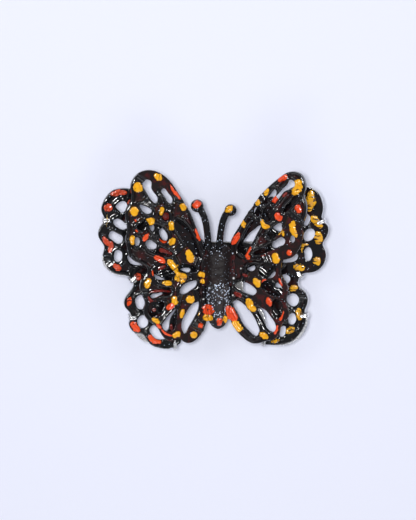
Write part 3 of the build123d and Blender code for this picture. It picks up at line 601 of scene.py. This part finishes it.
make_piece("thorax_cast", body_mound(), thorax_enamel, "brooch", "body_enamel", "thorax")
make_piece("abdomen_cast", tumbled_mesh("abdomen", grain=0.10 * MM, passes=6), abdomen_enamel,
           "brooch", "body_enamel", "abdomen")


def surface_of(*names):
    """One search tree over the faces of several pieces, for laying things on them."""
    points, faces = [], []
    for name in names:
        mesh = bpy.data.objects[name].data
        first = len(points)
        points += [v.co.copy() for v in mesh.vertices]
        faces += [[first + i for i in p.vertices] for p in mesh.polygons]
    return BVHTree.FromPolygons(points, faces)


DOWN = Vector((0.0, 0.0, -1.0))
SKY = 50 * MM
BODY_LEVEL = 10 * MM
BED_ACROSS = 36
BED_DOWN = 44


def drop_on(surface, x, y, near_level):
    """Where a point falls on a surface from above, or the surface's nearest point if it misses."""
    spot = surface.ray_cast(Vector((x, y, SKY)), DOWN)[0]
    return surface.find_nearest(Vector((x, y, near_level)))[0] if spot is None else spot


def grain_bed(low_y, high_y, middle, half_at):
    """A patch of surface where grains are stuck: its ends, middle line and half width, in mm."""
    surface = surface_of("abdomen_cast", "thorax_cast",
                         "upper_wing_left_enamelled", "upper_wing_right_enamelled")
    bed = bmesh.new()
    rows = []
    for j in range(BED_DOWN + 1):
        v = j / BED_DOWN
        y = high_y + (low_y - high_y) * v
        line = [middle + (i / BED_ACROSS * 2 - 1) * half_at(v) for i in range(BED_ACROSS + 1)]
        rows.append([bed.verts.new(drop_on(surface, x * MM, y * MM, BODY_LEVEL)) for x in line])
    for upper, lower in zip(rows, rows[1:]):
        for i in range(BED_ACROSS):
            bed.faces.new((upper[i], lower[i], lower[i + 1], upper[i + 1]))
    bmesh.ops.recalc_face_normals(bed, faces=bed.faces)
    return mesh_of(bed, "grain_bed")


def grain_tree(material):
    """Geometry nodes that strew round grains over a surface, each its own size, thinned in patches."""
    tree = bpy.data.node_groups.new("strewn_grains", "GeometryNodeTree")
    tree.interface.new_socket("Geometry", in_out="INPUT", socket_type="NodeSocketGeometry")
    for label, value in (("Spacing", 0.0004), ("Smallest", 0.00012), ("Largest", 0.0003)):
        socket = tree.interface.new_socket(label, in_out="INPUT", socket_type="NodeSocketFloat")
        socket.default_value = value
    tree.interface.new_socket("Geometry", in_out="OUTPUT", socket_type="NodeSocketGeometry")
    given, out = tree.nodes.new("NodeGroupInput"), tree.nodes.new("NodeGroupOutput")
    cover = put(tree, "ShaderNodeTexNoise", Scale=520.0, Detail=2.0)
    share = put(tree, "ShaderNodeMapRange", Value=cover.outputs["Fac"], From_Min=0.36, From_Max=0.56)
    strew = put(tree, "GeometryNodeDistributePointsOnFaces", {"distribute_method": "POISSON"},
                Mesh=given.outputs[0], Distance_Min=given.outputs["Spacing"], Density_Max=2.5e7, Seed=7)
    tree.links.new(share.outputs[0], strew.inputs["Density Factor"])
    ball = put(tree, "GeometryNodeMeshIcoSphere", Radius=1.0, Subdivisions=2)
    size = put(tree, "FunctionNodeRandomValue", {"data_type": "FLOAT"}, Seed=11)
    tree.links.new(given.outputs["Smallest"], size.inputs[2])
    tree.links.new(given.outputs["Largest"], size.inputs[3])
    stick = put(tree, "GeometryNodeInstanceOnPoints", Points=strew.outputs["Points"],
                Instance=ball.outputs["Mesh"])
    tree.links.new(size.outputs[1], stick.inputs["Scale"])
    solid = put(tree, "GeometryNodeRealizeInstances", Geometry=stick.outputs[0])
    painted = put(tree, "GeometryNodeSetMaterial", Geometry=solid.outputs[0], Material=material)
    tree.links.new(painted.outputs[0], out.inputs[0])
    return tree


def glass_grain():
    """Black glass grains, some tinted pale blue-white as painted glints: each takes its own tone from where
    it lies.
    """
    material, tree, shader = new_material("glass_grain")
    place = tree.nodes.new("ShaderNodeTexCoord").outputs["Object"]
    cells = put(tree, "ShaderNodeTexVoronoi", Vector=place, Scale=1900.0)
    shade = put(tree, "ShaderNodeSeparateColor", Color=cells.outputs["Color"]).outputs[1]
    # the pale blue-white tint is painted glints: it stands for light caught on the grains
    tint = mix_colour(tree, ramp(tree, shade, 0.40, 0.80), (0.006, 0.007, 0.010), (0.66, 0.74, 0.90))
    tree.links.new(tint, shader.inputs["Base Color"])
    fine = put(tree, "ShaderNodeTexNoise", Vector=place, Scale=6000.0)
    gloss = put(tree, "ShaderNodeMapRange", Value=fine.outputs["Fac"], To_Min=0.05, To_Max=0.25)
    tree.links.new(gloss.outputs[0], shader.inputs["Roughness"])
    shader.inputs["Coat Weight"].default_value = 0.6
    return material


def abdomen_half(v):
    """Half the width of the abdomen's grains, in mm, from their head end (0) to their tip (1)."""
    return 1.5 + 1.7 * math.sin(math.pi * v ** 0.7) - 0.6 * v


grain_glass = glass_grain()
strewing = grain_tree(grain_glass)
# each bed, and how far apart its grains lie, with their smallest and largest radius, in mm
grain_beds = {
    "abdomen_grains": (grain_bed(-17.4, -8.3, 0.3, abdomen_half), 0.45, 0.17, 0.29),
    "wing_root_grains": (grain_bed(-14.2, -7.9, -0.2, lambda v: 3.9 - 1.6 * abs(v - 0.35)),
                         0.95, 0.10, 0.22),
    "head_grains": (grain_bed(-1.2, 1.1, 0.6, lambda v: 2.3 + 1.2 * v), 0.62, 0.09, 0.20),
}
for name, (bed_mesh, spacing, smallest, largest) in grain_beds.items():
    strewn = placed("strewn", bed_mesh)
    step = strewn.modifiers.new("grains", "NODES")
    step.node_group = strewing
    sizes = {"Spacing": spacing, "Smallest": smallest, "Largest": largest}
    for socket in strewing.interface.items_tree:
        if socket.in_out == "INPUT" and socket.name in sizes:
            step[socket.identifier] = sizes[socket.name] * MM
    make_piece(name, mesh_after_modifiers(strewn), grain_glass, "brooch", "body_enamel")


# ---------------------------------------------------------------------------------------------
# Antennae. Two thick drawn rods dipped in black enamel and set into holes in the head, each with
# a ball melted on its end.
# ---------------------------------------------------------------------------------------------

antenna_enamel = body_enamel("antenna_enamel", (0.005, 0.005, 0.006), (0.010, 0.009, 0.010),
                             roughness=(0.05, 0.20), specks=0.24, speck_scale=2000.0)
for side in ("left", "right"):
    node = f"antenna_{side}"
    make_piece(f"{node}_dipped", tumbled_mesh(node, grain=0.09 * MM, passes=6), antenna_enamel,
               "brooch", "body_enamel", node)


# ---------------------------------------------------------------------------------------------
# Solder pips. Small pale balls of solder left proud at the roots of the wings where the layers
# were joined.
# ---------------------------------------------------------------------------------------------

solder = plated_metal("bright_solder", (0.98, 0.98, 0.98), (0.86, 0.86, 0.87),
                      roughness=(0.46, 0.58), scratch_depth=0.001 * MM)
wing_roots = surface_of("thorax_cast", "upper_wing_left_enamelled", "upper_wing_right_enamelled")
PIP_PROUD = 0.35
pips = bmesh.new()
# each pip as (x, y, radius) in mm
for x, y, r in ((3.9, -7.0, 0.36), (5.7, -4.5, 0.22), (3.7, -11.3, 0.26), (-3.6, -12.3, 0.24)):
    spot = drop_on(wing_roots, x * MM, y * MM, BODY_LEVEL)
    place = Matrix.Translation(spot + Vector((0.0, 0.0, PIP_PROUD * r * MM)))
    bmesh.ops.create_icosphere(pips, subdivisions=3, radius=r * MM, matrix=place)
make_piece("solder_pips", mesh_of(pips, "pips"), solder, "brooch", "silver")


# ---------------------------------------------------------------------------------------------
# Paint. Thick drops and strokes of bright enamel laid by hand with a loaded brush over the beads
# and fields. They stand proud with round edges, and the older ones have cracked.
# ---------------------------------------------------------------------------------------------

def brush_marks():
    """Cracks and streaks in a thick drop of paint: thin dark lines, and a slow change of tone."""
    tree, given, out = effect_group(
        "brush_marks", {"Crack Scale": 420.0, "Crack Width": 0.03, "Crack Share": 0.5, "Streak Share": 0.3},
        ("Cracks", "Tone", "Ripple"))
    place = tree.nodes.new("ShaderNodeTexCoord").outputs["Object"]
    bent = put(tree, "ShaderNodeTexNoise", Vector=place, Scale=900.0, Detail=2.0)
    shift = put(tree, "ShaderNodeVectorMath", {"operation": "SCALE"}, _0=bent.outputs["Color"], Scale=0.0006)
    moved = put(tree, "ShaderNodeVectorMath", {"operation": "ADD"}, _0=place, _1=shift.outputs[0])
    cells = put(tree, "ShaderNodeTexVoronoi", {"feature": "DISTANCE_TO_EDGE"}, Vector=moved.outputs[0],
                Scale=given.outputs[0])
    line = put(tree, "ShaderNodeMath", {"operation": "LESS_THAN"}, _0=cells.outputs["Distance"],
               _1=given.outputs[1])
    where = put(tree, "ShaderNodeTexNoise", Vector=place, Scale=260.0, Detail=2.0)
    there = put(tree, "ShaderNodeMath", {"operation": "LESS_THAN"}, _0=where.outputs["Fac"],
                _1=given.outputs[2])
    both = put(tree, "ShaderNodeMath", {"operation": "MULTIPLY"}, _0=line.outputs[0], _1=there.outputs[0])
    drawn = put(tree, "ShaderNodeMapping", Vector=moved.outputs[0], Scale=(0.35, 1.7, 1.0))
    hairs = put(tree, "ShaderNodeTexNoise", Vector=drawn.outputs[0], Scale=1100.0, Detail=2.0, Roughness=0.4)
    streak = put(tree, "ShaderNodeMath", {"operation": "LESS_THAN"}, _0=hairs.outputs["Fac"],
                 _1=given.outputs[3])
    marked = put(tree, "ShaderNodeMath", {"operation": "MAXIMUM"}, _0=both.outputs[0], _1=streak.outputs[0])
    tone = put(tree, "ShaderNodeTexNoise", Vector=place, Scale=650.0, Detail=4.0)
    ripple = put(tree, "ShaderNodeTexNoise", Vector=place, Scale=1400.0, Detail=2.0)
    tree.links.new(marked.outputs[0], out.inputs[0])
    tree.links.new(ramp(tree, tone.outputs["Fac"], 0.35, 0.7), out.inputs[1])
    tree.links.new(ripple.outputs["Fac"], out.inputs[2])
    return tree


BRUSH = brush_marks()


PAINT_GLOSS = (0.14, 0.30)
PAINT_RIPPLE = 0.06 * MM


def drop_paint(name, bright, deep, crack, crack_width, crack_share, streaks):
    """A bright glossy paint that deepens in tone in places and shows dark cracks and streaks."""
    material, tree, shader = new_material(name)
    marks = put(tree, "ShaderNodeGroup", {"node_tree": BRUSH}, Crack_Width=crack_width,
                Crack_Share=crack_share, Streak_Share=streaks)
    tone = marks.outputs["Tone"]
    body = mix_colour(tree, marks.outputs["Cracks"], mix_colour(tree, tone, bright, deep), crack)
    dress(tree, shader, body, tone, PAINT_GLOSS, marks.outputs["Ripple"], PAINT_RIPPLE, 0.7)
    shader.inputs["Coat Weight"].default_value = 0.6
    shader.inputs["Coat Roughness"].default_value = 0.08
    return material


# each paint's two tones and the colour of its cracks, then their width, share and the streaks' share
paints = {
    "yellow": drop_paint("yellow_paint", (0.90, 0.44, 0.008), (0.80, 0.35, 0.006), (0.10, 0.05, 0.01),
                         0.022, 0.45, 0.30),
    "mustard": drop_paint("mustard_paint", (0.86, 0.43, 0.012), (0.62, 0.28, 0.010), (0.03, 0.018, 0.01),
                          0.03, 0.50, 0.385),
    "orange": drop_paint("orange_paint", (0.86, 0.082, 0.010), (0.74, 0.055, 0.009), (0.08, 0.01, 0.01),
                         0.015, 0.42, 0.29),
    "coral": drop_paint("coral_paint", (0.66, 0.072, 0.020), (0.46, 0.045, 0.015), (0.06, 0.01, 0.01),
                        0.02, 0.50, 0.34),
    # dark red: partly the paint's own red, partly painted shade where drops lie in shadow under the upper
    # wings
    "red": drop_paint("dark_red_paint", (0.24, 0.016, 0.009), (0.14, 0.010, 0.008), (0.03, 0.01, 0.01),
                      0.015, 0.42, 0.33),
}


STROKE_STEP = 0.16
STROKE_ACROSS = 14
EDGE_WOBBLE = 0.42
# how far a drop's edge and its underside sink into what it lies on
EDGE_SUNK = 0.03 * MM
BELLY_SUNK = 0.13 * MM


def lay_stroke(target, surface, width, points, height, dice):
    """Adds one closed drop of paint: its edge lies on the surface and its top is a low dome."""
    length = sum((Vector(b) - Vector(a)).length for a, b in zip(points, points[1:]))
    steps = max(12, int(length / STROKE_STEP))
    wobble = dice.uniform(0.0, 50.0)
    blunt = dice.uniform(1.7, 2.6)
    places, domes = [], []
    for step, (spot, run) in enumerate(smooth_line([(*point, 0.0) for point in points], steps)):
        side = Vector((-run.y, run.x, 0.0))
        t = abs(2.0 * step / steps - 1.0)
        half = width / 2 * max(0.0, 1.0 - t ** blunt) ** (1.0 / blunt)
        near_level = places[-1][0].z if places else BODY_LEVEL
        row, dome_row = [], []
        for i in range(STROKE_ACROSS + 1):
            s = 2.0 * i / STROKE_ACROSS - 1.0
            uneven = 1.0 + EDGE_WOBBLE * noise.noise(Vector((wobble + step * 0.27, s * 0.9, wobble)))
            at = (spot + side * (half * s * uneven)) * MM
            row.append(drop_on(surface, at.x, at.y, near_level))
            dome_row.append(max(0.0, 1.0 - abs(s) ** 2.6) ** 0.5 * min(1.0, 2.2 * half / width) ** 0.5)
        places.append(row)
        domes.append(dome_row)
    levels = np.array([[p.z for p in row] for row in places])
    filled = levels.copy()
    # the paint fills hollows: its top is never far below the points round it
    for _ in range(3):
        inner = (filled[:-2, 1:-1] + filled[2:, 1:-1] + filled[1:-1, :-2] + filled[1:-1, 2:]) / 4
        filled[1:-1, 1:-1] = np.maximum(inner, levels[1:-1, 1:-1])
    domes = np.array(domes)
    tops = filled - EDGE_SUNK + domes * height
    bottoms = levels - np.where(domes > 0.3, BELLY_SUNK, EDGE_SUNK)
    top, base = [], []
    for row, high_row, low_row in zip(places, tops, bottoms):
        top.append([target.verts.new((p.x, p.y, z)) for p, z in zip(row, high_row)])
        base.append([target.verts.new((p.x, p.y, z)) for p, z in zip(row, low_row)])
    add_sheet(target, top, False)
    add_sheet(target, base, True)


slot_of = {"lower_left": "black_enamel", "lower_right": "black_enamel", "upper_left": "maroon_enamel",
           "upper_right": "maroon_enamel", "body": "body_enamel"}


def paint_drops(name, painted, strokes, height, seed):
    """All the drops on a wing or the body, with one mesh for each colour."""
    surface = surface_of(*painted)
    dice = random.Random(seed)
    for colour, drops in strokes.items():
        target = bmesh.new()
        for width, points in drops:
            lay_stroke(target, surface, width, points, height * dice.uniform(0.8, 1.25), dice)
        bmesh.ops.remove_doubles(target, verts=target.verts, dist=0.002 * MM)
        bmesh.ops.recalc_face_normals(target, faces=target.faces)
        mesh = mesh_of(target, "paint")
        make_piece(f"{name}_{colour}_paint", mesh, paints[colour], "brooch", slot_of[name])


# Each stroke is its width in millimetres and the line of the brush, as (x, y) in millimetres.
upper_left_strokes = {
    "yellow": [
        (2.5, [(-20.1, 17.6), (-19.4, 15)]),
        (1.8, [(-15.8, 19.5), (-13.9, 17.9)]),
        (2.1, [(-20.8, 11.5), (-20.6, 9)]),
        (1.2, [(-13.8, 11.3), (-14.2, 9.1)]),
        (1.7, [(-8.8, 12.1), (-8.5, 10)]),
        (1.8, [(-17.1, 8.6), (-16.1, 6.9)]),
        (1.5, [(-11.7, 7.7), (-11.5, 5.2)]),
        (1.4, [(-21.2, 4.4), (-21.2, 1.9)]),
        (1.9, [(-12.3, 2.7), (-10.6, 2.2)]),
        (1.9, [(-7.6, 0.3), (-6.5, -3.1)]),
        (1.9, [(-12.5, -2), (-11, -3.9), (-9.6, -5.8)]),
        (3, [(-10.7, -6), (-7.9, -7.2)]),
        (1.5, [(-5, -5.9), (-2.9, -6.4)]),
        (1.3, [(-4.1, -7.2), (-3.5, -8.4)]),
        (1.6, [(-17, -6.6), (-17.9, -9.1)]),
        (1.4, [(-14, -7.8), (-11.4, -8.1)]),
        (2.1, [(-7.9, -11.8), (-6, -13)]),
        (1.6, [(-10.9, -11.3), (-10.7, -13.6)]),
        (1.1, [(-8.6, -14.7), (-9.3, -17.1)]),
        (1.3, [(-16.5, -16.6), (-14.6, -18.1)]),
        (1.7, [(-11.4, -21.7), (-9.4, -20.6)]),
        (1.9, [(-7, -21.3), (-5.1, -21.5)]),
        (0.3, [(-4.6, -15.5), (-5, -16.5)]),
    ],
    "orange": [
        (0.9, [(-11.9, 16.8), (-11, 15.1), (-9.9, 14), (-9.4, 12.9)]),
        (1.1, [(-5.6, 5.7), (-4.5, 2.4)]),
        (1.2, [(-18.5, 2.7), (-18, 3.7), (-17.2, 4.6)]),
        (0.9, [(-14.5, 3.4), (-12.9, 2.4)]),
        (0.6, [(-20.5, 5.8), (-19.9, 5.1)]),
        (0.6, [(-20.6, 8.3), (-20.3, 7.7)]),
        (1.5, [(-16, -1.2), (-14.6, -1.8), (-13.1, -2.8)]),
        (0.5, [(-16.4, -4.5), (-16.1, -6.1)]),
        (1.5, [(-12.9, -14.5), (-10.9, -13.4)]),
        (0.9, [(-15.4, -18.1), (-14.1, -19.4)]),
        (1.3, [(-5, -18.9), (-3.7, -19.1)]),
        (0.6, [(-14.2, -19.6), (-13, -20.9), (-11.4, -21.5)]),
    ],
    "red": [
        (0.9, [(-17.5, -11), (-16.8, -12.2), (-16, -12.8), (-15.1, -12.5)]),
    ],
}
upper_right_strokes = {
    "orange": [
        (1.5, [(14.8, 17.8), (17, 19.6)]),
        (1, [(14.3, 14.4), (13.5, 12.5)]),
        (1.6, [(19.3, 12.3), (20.2, 10.2)]),
        (1.8, [(14.2, 10), (15.6, 8.1)]),
        (1.5, [(5.3, 4.7), (3.5, 1.4)]),
        (1.3, [(8.2, 1.3), (7.1, -0.4), (7.8, -2.2)]),
        (1.5, [(16.9, 0.2), (18.3, 0.1)]),
        (1.5, [(10.9, -7.2), (12.3, -8.0)]),
        (0.6, [(15.1, -6.3), (15.9, -8.4)]),
        (1.5, [(12.3, -11.3), (13.1, -13.7)]),
        (0.8, [(16.2, -14.5), (15.4, -17.2)]),
        (0.9, [(14.9, -18.2), (14.1, -20.7)]),
    ],
    "yellow": [
        (2.3, [(20.1, 18.6), (18.7, 14.5)]),
        (1.2, [(12.4, 16.1), (11.5, 14.2)]),
        (1.2, [(9.9, 13.3), (9.7, 11.5)]),
        (1.4, [(10.9, 8.3), (11.3, 6.7), (12.9, 6.5)]),
        (1.2, [(5.9, 8.1), (6.5, 5.8)]),
        (0.9, [(14.3, 4.4), (16.1, 5.9)]),
        (0.7, [(15.9, 5.7), (16.2, 4.1)]),
        (1.7, [(18.7, 8.3), (18.3, 6.4), (19.4, 4)]),
        (2, [(14.1, 0), (14.5, -2.8)]),
        (1.9, [(8.9, -6.7), (10.4, -9)]),
        (1.8, [(7.4, -11.8), (7.9, -13.3), (9.3, -15.1)]),
        (1.5, [(10.1, -20.5), (12.6, -21.6)]),
    ],
    "red": [
        (1, [(15.9, 14), (17, 15.3)]),
        (0.4, [(10.5, -1), (11.9, -0.6)]),
        (0.9, [(6, -5.8), (7.5, -6.3)]),
        (1.2, [(4, -10.6), (6, -11.6)]),
    ],
}
lower_left_strokes = {
    "coral": [
        (1.5, [(-26.8, 14), (-24.8, 14.5), (-22.6, 14.4)]),
        (2, [(-28.4, 11.2), (-26.3, 10.3)]),
        (0.9, [(-22.5, 11.4), (-21.6, 12.6)]),
        (1.5, [(-28.7, 3.5), (-27.7, 2), (-26.7, 1.3), (-27.2, -0.7)]),
        (1.5, [(-26.3, -3.6), (-24.2, -5)]),
        (1.8, [(-21.1, -6.8), (-19.2, -7)]),
    ],
    "orange": [
        (1.2, [(-21.9, -11.9), (-22.6, -14.3)]),
        (1.9, [(-21.8, -18.3), (-19.7, -20.9)]),
        (2.2, [(-17.6, -21.9), (-14.3, -23.9)]),
    ],
    # these dark red drops lie under the openings of the upper wing: their dark tone is partly painted shade
    "red": [
        (1, [(-15.2, -5.2), (-13, -4.2)]),
        (0.7, [(-17.3, -10.9), (-14.8, -10.5), (-11.8, -10.9)]),
        (0.9, [(-11.8, -19), (-11.6, -20.8)]),
        (2, [(-13.4, 9.3), (-12.8, 7.3)]),
        (1.5, [(-14.8, -0.2), (-12.8, -0.5), (-10.8, -1)]),
        (0.9, [(-16.4, -15), (-15.7, -15.8)]),
    ],
}
lower_right_strokes = {
    "mustard": [
        (2.4, [(23.3, 15.2), (23.1, 12.4), (22.5, 9.6)]),
        (2, [(23.2, 8.8), (25.9, 5.7)]),
        (2.3, [(24.7, 4.9), (25.2, 1.5)]),
        (0.8, [(21, -0.7), (21.2, 1.2), (22.7, 1.5)]),
        (2.1, [(23.6, -2.6), (25.7, -2.7)]),
        (1.8, [(18.8, -4), (21.8, -4.6)]),
        (1.7, [(17.9, -10.1), (20.1, -9.4)]),
        (1.6, [(20.1, -14.6), (20.6, -17.9)]),
        (1.7, [(16.9, -21.1), (19.3, -19.7)]),
        (1.1, [(13.3, -23.6), (15.5, -23)]),
    ],
}
body_strokes = {
    "orange": [
        (1.6, [(0.5, -16.7), (0.3, -18.9)]),
        (2.6, [(-5.9, 12.7), (-4.6, 11.4)]),
        (2.9, [(-2.5, -13.5), (-2.3, -16.3)]),
        (2.7, [(2.2, -13.9), (4.6, -18.0)]),
    ],
    "yellow": [
        (2.6, [(1.6, 10.0), (2.3, 11.1), (3.7, 11.2)]),
        (2.0, [(-3.9, -17.2), (-1.2, -16.9)]),
        (2.2, [(3.6, -17.9), (5.9, -20.3)]),
        (1.3, [(1.5, -16.4), (2.2, -18.4)]),
    ],
}
paint_drops("lower_left", ["lower_wing_left_enamelled"], lower_left_strokes, height=0.26 * MM, seed=1)
paint_drops("lower_right", ["lower_wing_right_enamelled"], lower_right_strokes, height=0.24 * MM, seed=2)
paint_drops("upper_left", ["upper_wing_left_enamelled"], upper_left_strokes, height=0.34 * MM, seed=3)
paint_drops("upper_right", ["upper_wing_right_enamelled"], upper_right_strokes, height=0.34 * MM, seed=4)
body_surfaces = ["abdomen_cast", "antenna_left_dipped", "antenna_right_dipped",
                 "upper_wing_left_enamelled", "upper_wing_right_enamelled"]
paint_drops("body", body_surfaces, body_strokes, height=0.28 * MM, seed=5)


# ---------------------------------------------------------------------------------------------
# Table, light and camera. The brooch lies on its back on pale card, under a small bright pane
# almost overhead, with weaker soft windows on all sides and a pale room round it.
# ---------------------------------------------------------------------------------------------

def pale_card():
    """Smooth lavender-white card with a faint tooth."""
    material, tree, shader = new_material("pale_card")
    place = tree.nodes.new("ShaderNodeTexCoord").outputs["Object"]
    tooth = put(tree, "ShaderNodeTexNoise", Vector=place, Scale=3000.0, Detail=3.0)
    tree.links.new(mix_colour(tree, tooth.outputs["Fac"], (0.80, 0.82, 0.94), (0.78, 0.80, 0.92)),
                   shader.inputs["Base Color"])
    relief = put(tree, "ShaderNodeBump", Height=tooth.outputs["Fac"], Distance=0.00002, Strength=0.3)
    tree.links.new(relief.outputs[0], shader.inputs["Normal"])
    shader.inputs["Roughness"].default_value = 0.7
    return material


CARD_HALF = 0.6
CARD_GAP = 0.02 * MM
card = bmesh.new()
bmesh.ops.create_grid(card, x_segments=8, y_segments=8, size=CARD_HALF)
bmesh.ops.translate(card, verts=card.verts, vec=(0.0, 0.0, cad_low.z - CARD_GAP))
card_mesh = mesh_of(card, "card")
card_mesh.materials.append(pale_card())
card_piece = placed("card", card_mesh)


def window_light(name, place, size, power, tint):
    """A rectangular soft light that faces the brooch."""
    lamp = bpy.data.lights.new(name, "AREA")
    lamp.shape = "RECTANGLE"
    lamp.size, lamp.size_y = size
    lamp.energy = power
    lamp.color = tint
    holder = placed(name, lamp)
    holder.location = place
    holder.rotation_euler = (-Vector(place)).to_track_quat("-Z", "Y").to_euler()


window_light("bright_pane", (-0.035, 0.115, 0.66), (0.085, 0.085), 3.0, (1.0, 1.0, 1.0))
window_light("main_window", (-0.30, 0.24, 0.50), (0.20, 0.20), 0.38, (1.0, 0.99, 0.98))
window_light("right_window", (0.42, 0.10, 0.34), (0.16, 0.30), 0.22, (0.96, 0.97, 1.0))
window_light("tail_window", (0.05, -0.42, 0.40), (0.40, 0.14), 0.48, (0.98, 0.98, 1.0))
window_light("sky_window", (0.10, 0.50, 0.40), (0.34, 0.12), 0.34, (0.90, 0.94, 1.0))

room = bpy.data.worlds.new("room")
room.use_nodes = True
room_light = room.node_tree.nodes["Background"].inputs
room_light["Color"].default_value = (0.90, 0.92, 1.0, 1.0)
room_light["Strength"].default_value = 0.20
bpy.context.scene.world = room
bpy.context.scene.view_settings.view_transform = "Standard"

lens = bpy.data.cameras.new("camera")
lens.lens = 166.15
lens.clip_start, lens.clip_end = 0.01, 10.0
camera = placed("camera", lens)
LEAN = math.radians(9.0)
AIM = Vector((-2.5, -2.5, 8.0)) * MM
CAMERA_DISTANCE = 0.6
camera.location = AIM + Vector((0.0, math.sin(LEAN), math.cos(LEAN))) * CAMERA_DISTANCE
camera.rotation_euler = (-LEAN, 0.0, 0.0)
bpy.context.scene.camera = camera
